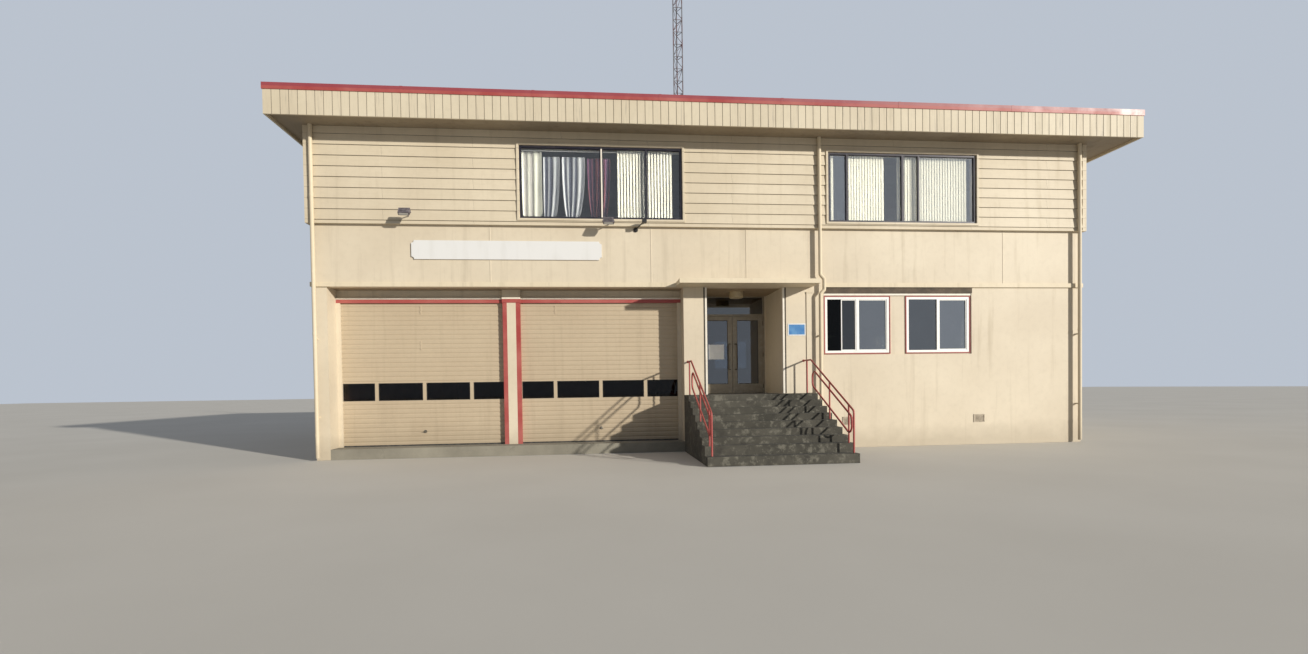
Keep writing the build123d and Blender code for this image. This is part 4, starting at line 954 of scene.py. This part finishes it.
old_vanes = vane_cloth("grey_vane_fabric", (0.60, 0.585, 0.515), (0.52, 0.505, 0.445))
white_vanes = vane_cloth("white_vane_fabric", (0.76, 0.735, 0.63), (0.66, 0.64, 0.55))
vertical_blind("blind_1", 7.387, 8.773, 0.060, 0.020, old_vanes)
vertical_blind("blind_2", 12.862, 13.028, 0.0715, 0.014, white_vanes)
vertical_blind("blind_3", 13.362, 14.403, 0.0715, 0.014, white_vanes)
vertical_blind("blind_4", 14.757, 16.708, 0.0715, 0.014, white_vanes)


# Curtains
# Three lots of cloth hang from a rod in the left window: a white sheer in broad folds, a
# grey-blue pair drawn together toward the foot, and a dark red and purple stripe.
CURTAIN_LINE = 0.110
UPRIGHT = (math.pi / 2, 0, 0)


def folded_cloth(name, near, fold_shade_color, stripe=None):
    """Cloth that is paler where a fold stands forward and darker deep in between, as painted shade."""
    finish, tree = new_finish(name, Roughness=0.9)
    axes = object_axes(tree)
    between = [0.8 * part for part in near]
    color, thread = patches(tree, near, between, (1, 2, 0.5), (0.3, 0.7), 0.25, (260, 260, 40))
    if stripe:
        band = combine(tree, "PINGPONG", axes["X"], 0.045)
        color = blend_color(tree, spread(tree, band, 0.030, 0.036), color, stripe)
    fold_painted_shade = spread(tree, axes["Y"], FRONT + CURTAIN_LINE - 0.010, FRONT + CURTAIN_LINE + 0.010)
    join_shader(tree, blend_color(tree, fold_painted_shade, color, fold_shade_color), None, thread, 0.0003)
    return finish


def hang_cloth(name, spans, head, fold_width, depth, finish):
    """Panels drawn out fold by fold from one upright strip; spans are (head x0, x1, foot x0, x1)."""
    drop = head - BLIND_FOOT
    panels = []
    for k, (x0, x1, foot0, foot1) in enumerate(spans):
        count = 2 * max(2, round((x1 - x0) / fold_width))
        step = (x1 - x0) / count
        middle = x0 + step / 2
        panel = start(bpy.ops.mesh.primitive_plane_add, "panel", (step, drop, 1), size=1,
                      location=(middle, CURTAIN_LINE, (head + BLIND_FOOT) / 2), rotation=UPRIGHT)
        bpy.ops.object.mode_set(mode="EDIT")
        bpy.ops.mesh.select_mode(type="EDGE")
        bpy.ops.mesh.select_all(action="DESELECT")
        close_edit()
        for edge in panel.data.edges:
            edge.select = all(panel.data.vertices[v].co.x > middle for v in edge.vertices)
        bpy.ops.object.mode_set(mode="EDIT")
        for _ in range(1, count):
            pull(x=step)
        bpy.ops.mesh.select_all(action="SELECT")
        for share in (0.14, 0.4, 0.7, 0.93, 0.965):
            bpy.ops.mesh.bisect(plane_co=(0, 0, BLIND_FOOT + share * drop), plane_no=(0, 0, 1))
            bpy.ops.mesh.select_all(action="SELECT")
        close_edit()
        for vertex in panel.data.vertices:
            i = round((vertex.co.x - x0) / step)
            low = (head - vertex.co.z) / drop
            out = 1.5 * depth * (0.75 + 0.25 * math.sin(2.3 * i + k))
            vertex.co.y += (out if i % 2 else -out) * (0.55 + 0.45 * min(1, 3 * low))
            sway = 0.022 * math.sin(1.7 * i + 2 * k) + 0.030 * math.sin(math.pi * i / count)
            foot = foot0 + (foot1 - foot0) * (vertex.co.x - x0) / (x1 - x0)
            vertex.co.x += (foot - vertex.co.x) * low ** 3 - (sway * low * low if 0 < i < count else 0)
        apply_modifier(panel, "SUBSURF", levels=2, render_levels=2)
        apply_modifier(panel, "SOLIDIFY", thickness=0.0015)
        panels.append(panel)
    cloth = join(name, panels)
    for face in cloth.data.polygons:
        face.use_smooth = True
    fit_at(front_wall, cloth, finish, "curtain_cloth")
    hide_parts("window_curtains")


# The second colour of each cloth is painted shade, deep in its folds.
sheer = folded_cloth("white_sheer", (0.60, 0.60, 0.53), (0.33, 0.315, 0.30))
grey_blue = folded_cloth("grey_blue_cloth", (0.39, 0.40, 0.43), (0.045, 0.050, 0.075))
striped = folded_cloth("striped_cloth", (0.19, 0.055, 0.065), (0.032, 0.013, 0.038), (0.095, 0.034, 0.095))
GREY_BLUE_PAIR = ((5.540, 5.945, 5.548, 5.850), (6.005, 6.575, 6.090, 6.430))
hang_cloth("sheer_curtain", ((5.008, 5.500, 5.025, 5.505),), 7.594, 0.160, 0.050, sheer)
hang_cloth("grey_blue_curtain", GREY_BLUE_PAIR, 7.470, 0.135, 0.052, grey_blue)
hang_cloth("striped_curtain", ((6.635, 7.205, 6.730, 7.100),), 7.450, 0.110, 0.052, striped)


# Lower windows
# Sliding windows of white plastic sections, screwed into their openings, each with a thin red
# bead round its frame.
LOWER_CENTERS = (13.640, 15.875)
vinyl = patchy_finish(
    "white_vinyl", (0.84, 0.84, 0.82), (0.62, 0.61, 0.57), (6, 6, 0.7), (0.5, 0.8), 0.4, Roughness=0.38)
dress(["front_lower_window_frames", "curtain_rod"], vinyl)

for center in LOWER_CENTERS:
    red_bead = square_ring("window_bead", (-0.905, 0.022, 2.458), (0.905, 0.052, 3.983), 0.022, 0.003, 2)
    fit_at(on_wall("front", center), red_bead, red_finish, "red_metal")


# Strips over the lower windows
# A folded pale drip strip and a long louvred strip close the recess above the windows. Both
# are sheet metal, screwed to the wall. The louvred strip's dark brown is painted shade, the
# shade under the belt.
WINDOWS_LEFT, WINDOWS_RIGHT = 12.722, 16.798
LOUVRE_FOOT, LOUVRE_HEAD = 4.052, 4.198

head_strip = new_block("window_head_strip", (WINDOWS_LEFT, 0.020, 3.990), (WINDOWS_RIGHT, 0.050, 4.046))
pick(head_strip, facing(y=-1))
inset(0.010, 0.004)
close_edit()
fit_at(front_wall, head_strip, bead_finish, "cream_trim")

# Its dark brown is painted shade under the belt.
louvre_painted_shade = patchy_finish(
    "painted_louvre_shade", (0.135, 0.10, 0.068), (0.075, 0.058, 0.042), (5, 5, 0.5), (0.4, 0.7), Roughness=0.7)
louvre_base = new_block("window_louvres", (WINDOWS_LEFT - 0.017, -0.008, LOUVRE_FOOT),
                        (WINDOWS_RIGHT + 0.017, 0, LOUVRE_HEAD))
pick(louvre_base, facing(y=-1))
inset(0.008)
pull(y=0.005)
close_edit()
blade = new_block("window_blade", (WINDOWS_LEFT - 0.010, -0.009, 0), (WINDOWS_RIGHT + 0.010, -0.003, 0.004))
pick(blade, facing(y=-1))
slide(z=-0.010)
close_edit()
blades = set_out(blade, [shifted(z=z) for z in (4.078, 4.098, 4.118, 4.138, 4.158, 4.178)])
fit_at(front_wall, join("window_louvres", [louvre_base] + blades), louvre_painted_shade, "wall_panel")


# Sashes of the lower windows
# White plastic rings round the panes that slide. In the left window the near one is slid back,
# and that end of the window stands open.
LOWER_SPANS = (((-0.436, -0.029), (0.029, 0.813)), ((0.029, 0.813),))
for i, spans in enumerate(LOWER_SPANS):
    ring_row(f"lower_sashes_{i + 1}", on_wall("front", LOWER_CENTERS[i]), spans, 0.046, 0.062, 2.549, 3.892,
             0.026, vinyl, "white_vinyl")


# Entry leaves
# A black rubber bead holds the glass of each leaf, a sheet of paper is taped behind the left
# one's face and left blank, and an aluminium threshold runs under both.
LEAF_GLASS = {"left": (9.9065, 10.5215), "right": (10.7885, 11.4035)}
GLASS_FOOT, GLASS_HEAD = 1.7235, 3.5255
NOTICE_SIZE, NOTICE_CURL = (0.445, 0.415, 1), 0.120
for side, (x0, x1) in LEAF_GLASS.items():
    glass_bead = square_ring(f"{side}_leaf_bead", (x0, 1.6445, GLASS_FOOT), (x1, 1.6585, GLASS_HEAD),
                             0.012, 0.002)
    fit_at(front_wall, glass_bead, rubber, "bronze_metal", f"{side}_door")

# The paper's blue-white tint is painted cool light on it.
paper_with_cool_light = patchy_finish(
    "notice_paper_painted_cool_light", (0.84, 0.90, 1.0), (0.70, 0.76, 0.86), (7, 4, 0.5), (0.35, 0.7), 0.6, Roughness=0.8)
notice = start(bpy.ops.mesh.primitive_grid_add, "notice_sheet", NOTICE_SIZE,
               x_subdivisions=8, y_subdivisions=8, size=1, rotation=UPRIGHT)
for vertex in notice.data.vertices:
    vertex.co.y -= NOTICE_CURL * abs(4 * vertex.co.x * vertex.co.z) ** 1.5
apply_modifier(notice, "SOLIDIFY", thickness=0.0006)
fit_at(on_wall("front", 10.193, 1.6580, 2.632), notice, paper_with_cool_light, "white_board", "left_door")

threshold = new_block("entry_threshold", (9.770, 1.625, 1.450), (11.540, 1.700, 1.4575))
pick(threshold, facing(z=1))
inset(0.012)
slide(z=0.0022)
close_edit()
fit_at(front_wall, threshold, taupe, "bronze_metal")


# Downpipes
# Round metal pipe painted with the walls and held off them by straps. A short sleeve covers
# each joint between two lengths.
PIPE_LINES, PIPE_REACH = (0.088, 12.578, 19.800), 0.150
SLEEVE_HEIGHTS = (0.62, 3.05, 6.35)
pipe_finish = paint_finish(
    "pipe_paint", (0.64, 0.55, 0.40), (0.70, 0.61, 0.46), (0.38, 0.32, 0.24), 0.8, 0.2, 0.4, relief=None)
dress(["downpipe_left", "downpipe_middle", "downpipe_right"], pipe_finish)

sleeve = new_tube("pipe_sleeve", (0, 0, -0.035), (0, 0, 0.035), 0.0512, 32)
pick(sleeve, facing(z=1, both=True))
inset(0.0040)
bpy.ops.mesh.bridge_edge_loops()
close_edit()
soften(sleeve, 0.001, 1)
SLEEVES = [shifted(LEFT + x, FRONT - PIPE_REACH, z) for x in PIPE_LINES for z in SLEEVE_HEIGHTS]
fit(set_out(sleeve, SLEEVES), pipe_finish, "pipe_metal")


# Sign board
# A wooden board with notched corners, fixed to the front, painted white and left bare. Rain has
# soiled it in faint upright streaks.
board_finish = patchy_finish(
    "sign_paint", (0.70, 0.70, 0.70), (0.52, 0.51, 0.48), (1, 6, 0.5), (0.5, 0.8), 0.35, (4, 4, 0.8),
    Roughness=0.5)
dress(["sign_board"], board_finish)


# Porch light
# A shallow bowl of moulded plastic, screwed up under the canopy, with dust on it in patches.
# Its dark yellow-brown is painted shade, the canopy's shade, over plastic that age has yellowed.
# Its dark tone is painted shade.
bowl_painted_shade = patchy_finish(
    "yellowed_bowl_painted_shade", (0.52, 0.43, 0.27), (0.36, 0.29, 0.19), (9, 5, 0.5), (0.4, 0.75), Roughness=0.35)
dress(["porch_light"], bowl_painted_shade)


# Wall lights
# Two cast floodlights and a small sensor on arms from the wall, in grey paint gone dull; the
# sensor is black. Each lamp has fins, a pivot ear at each side and a ribbed lens in a bezel.
LAMP_LINES, LAMP_REACH, LAMP_TILT = ((2.300, 5.900), (7.130, 5.738)), 0.430, math.radians(-35)
LAMP_PLACES = [on_wall("front", x, -LAMP_REACH, z) @ Matrix.Rotation(LAMP_TILT, 4, "X")
               for x, z in LAMP_LINES]
SENSOR_LINE = 7.50
cast, tree = new_finish("lamp_casting", Metallic=0.3)
color, dull = patches(tree, (0.13, 0.115, 0.125), (0.26, 0.235, 0.25), (18, 5, 0.5), (0.4, 0.7))
at_sensor = spread(tree, object_axes(tree)["X"], LEFT + SENSOR_LINE, LEFT + SENSOR_LINE + 0.02)
color = blend_color(tree, at_sensor, color, (0.018, 0.017, 0.018))
join_shader(tree, color, spread(tree, dull, 0, 1, 0.45, 0.7))
dress(["wall_lights"], cast)

lens_finish, tree = new_finish("lamp_lens", Roughness=0.12)
# Each rib is painted darker in its valley and paler on its crest: painted shade, with the ribs' relief.
ribs_and_painted_shade = spread(tree, combine(tree, "PINGPONG", object_axes(tree)["X"], 0.006), 0.0, 0.006)
color = blend_color(tree, ribs_and_painted_shade, (0.55, 0.55, 0.52), (0.72, 0.71, 0.66))
join_shader(tree, color, None, ribs_and_painted_shade, 0.001)

fins = []
for i in range(7):
    x = -0.0925 + i * 0.03
    fin = new_block("lamp_fin", (x, -0.074, -0.070), (x + 0.005, -0.060, 0.070))
    pick(fin, facing(y=-1))
    bpy.ops.transform.resize(value=(0.6, 1, 0.82))
    close_edit()
    fins.append(fin)
for side in (-1, 1):
    x0, x1 = sorted((side * 0.131, side * 0.137))
    ear = new_block("lamp_ear", (x0, -0.024, -0.050), (x1, 0.024, 0.050), 0.0025)
    knob = new_tube("lamp_knob", (side * 0.137, 0, 0), (side * 0.152, 0, 0), 0.018, 16)
    soften(knob, 0.003)
    fins += [ear, knob]
fit(set_out(join("lamp_fittings", fins), LAMP_PLACES), cast, "lamp_metal")

bezel = square_ring("lamp_bezel", (-0.122, -0.095, -0.014), (0.122, -0.0862, 0.056), 0.011, 0.002, 2)
bezel.data.transform(TIPPED)
fit(set_out(bezel, LAMP_PLACES), cast, "lamp_metal")
lens = new_block("lamp_lens", (-0.111, -0.091, -0.003), (0.111, -0.0862, 0.045))
pick(lens, facing(y=-1))
inset(0.008, 0.002)
close_edit()
lens.data.transform(TIPPED)
fit(set_out(lens, LAMP_PLACES), lens_finish, "lamp_metal")

mount = new_tube("sensor_mount", (7.825, 0, 5.640), (7.825, -0.022, 5.640), 0.060, 32)
pick(mount, facing(y=-1))
inset(0.018)
pull(y=-0.014)
bpy.ops.transform.resize(value=(0.7, 1, 0.7))
close_edit()
soften(mount, 0.004)
arm = new_tube("sensor_arm", (7.825, -0.030, 5.640), (7.985, -0.262, 5.758), 0.012, 16)
soften(arm, 0.003)
fit_at(front_wall, join("sensor_mount", [mount, arm]), cast, "lamp_metal")


# Radio mast
# A three-legged lattice of welded steel, galvanised and bolted to the roof. The zinc has gone
# dark with age, with rust in patches.
steel, tree = new_finish("galvanised_steel", Metallic=0.5)
spangle = add_node(tree, "TexVoronoi", {"Vector": object_place(tree), "Scale": 45.0})
flake = spread(tree, spangle.outputs["Distance"], 0.0, 0.8)
color = blend_color(tree, flake, (0.10, 0.10, 0.11), (0.19, 0.19, 0.20))
color, _ = patches(tree, color, (0.12, 0.030, 0.024), (2.5, 5, 0.7), (0.45, 0.60), 0.8)  # rust
join_shader(tree, color, spread(tree, flake, 0, 1, 0.4, 0.6))
dress(["radio_mast"], steel)
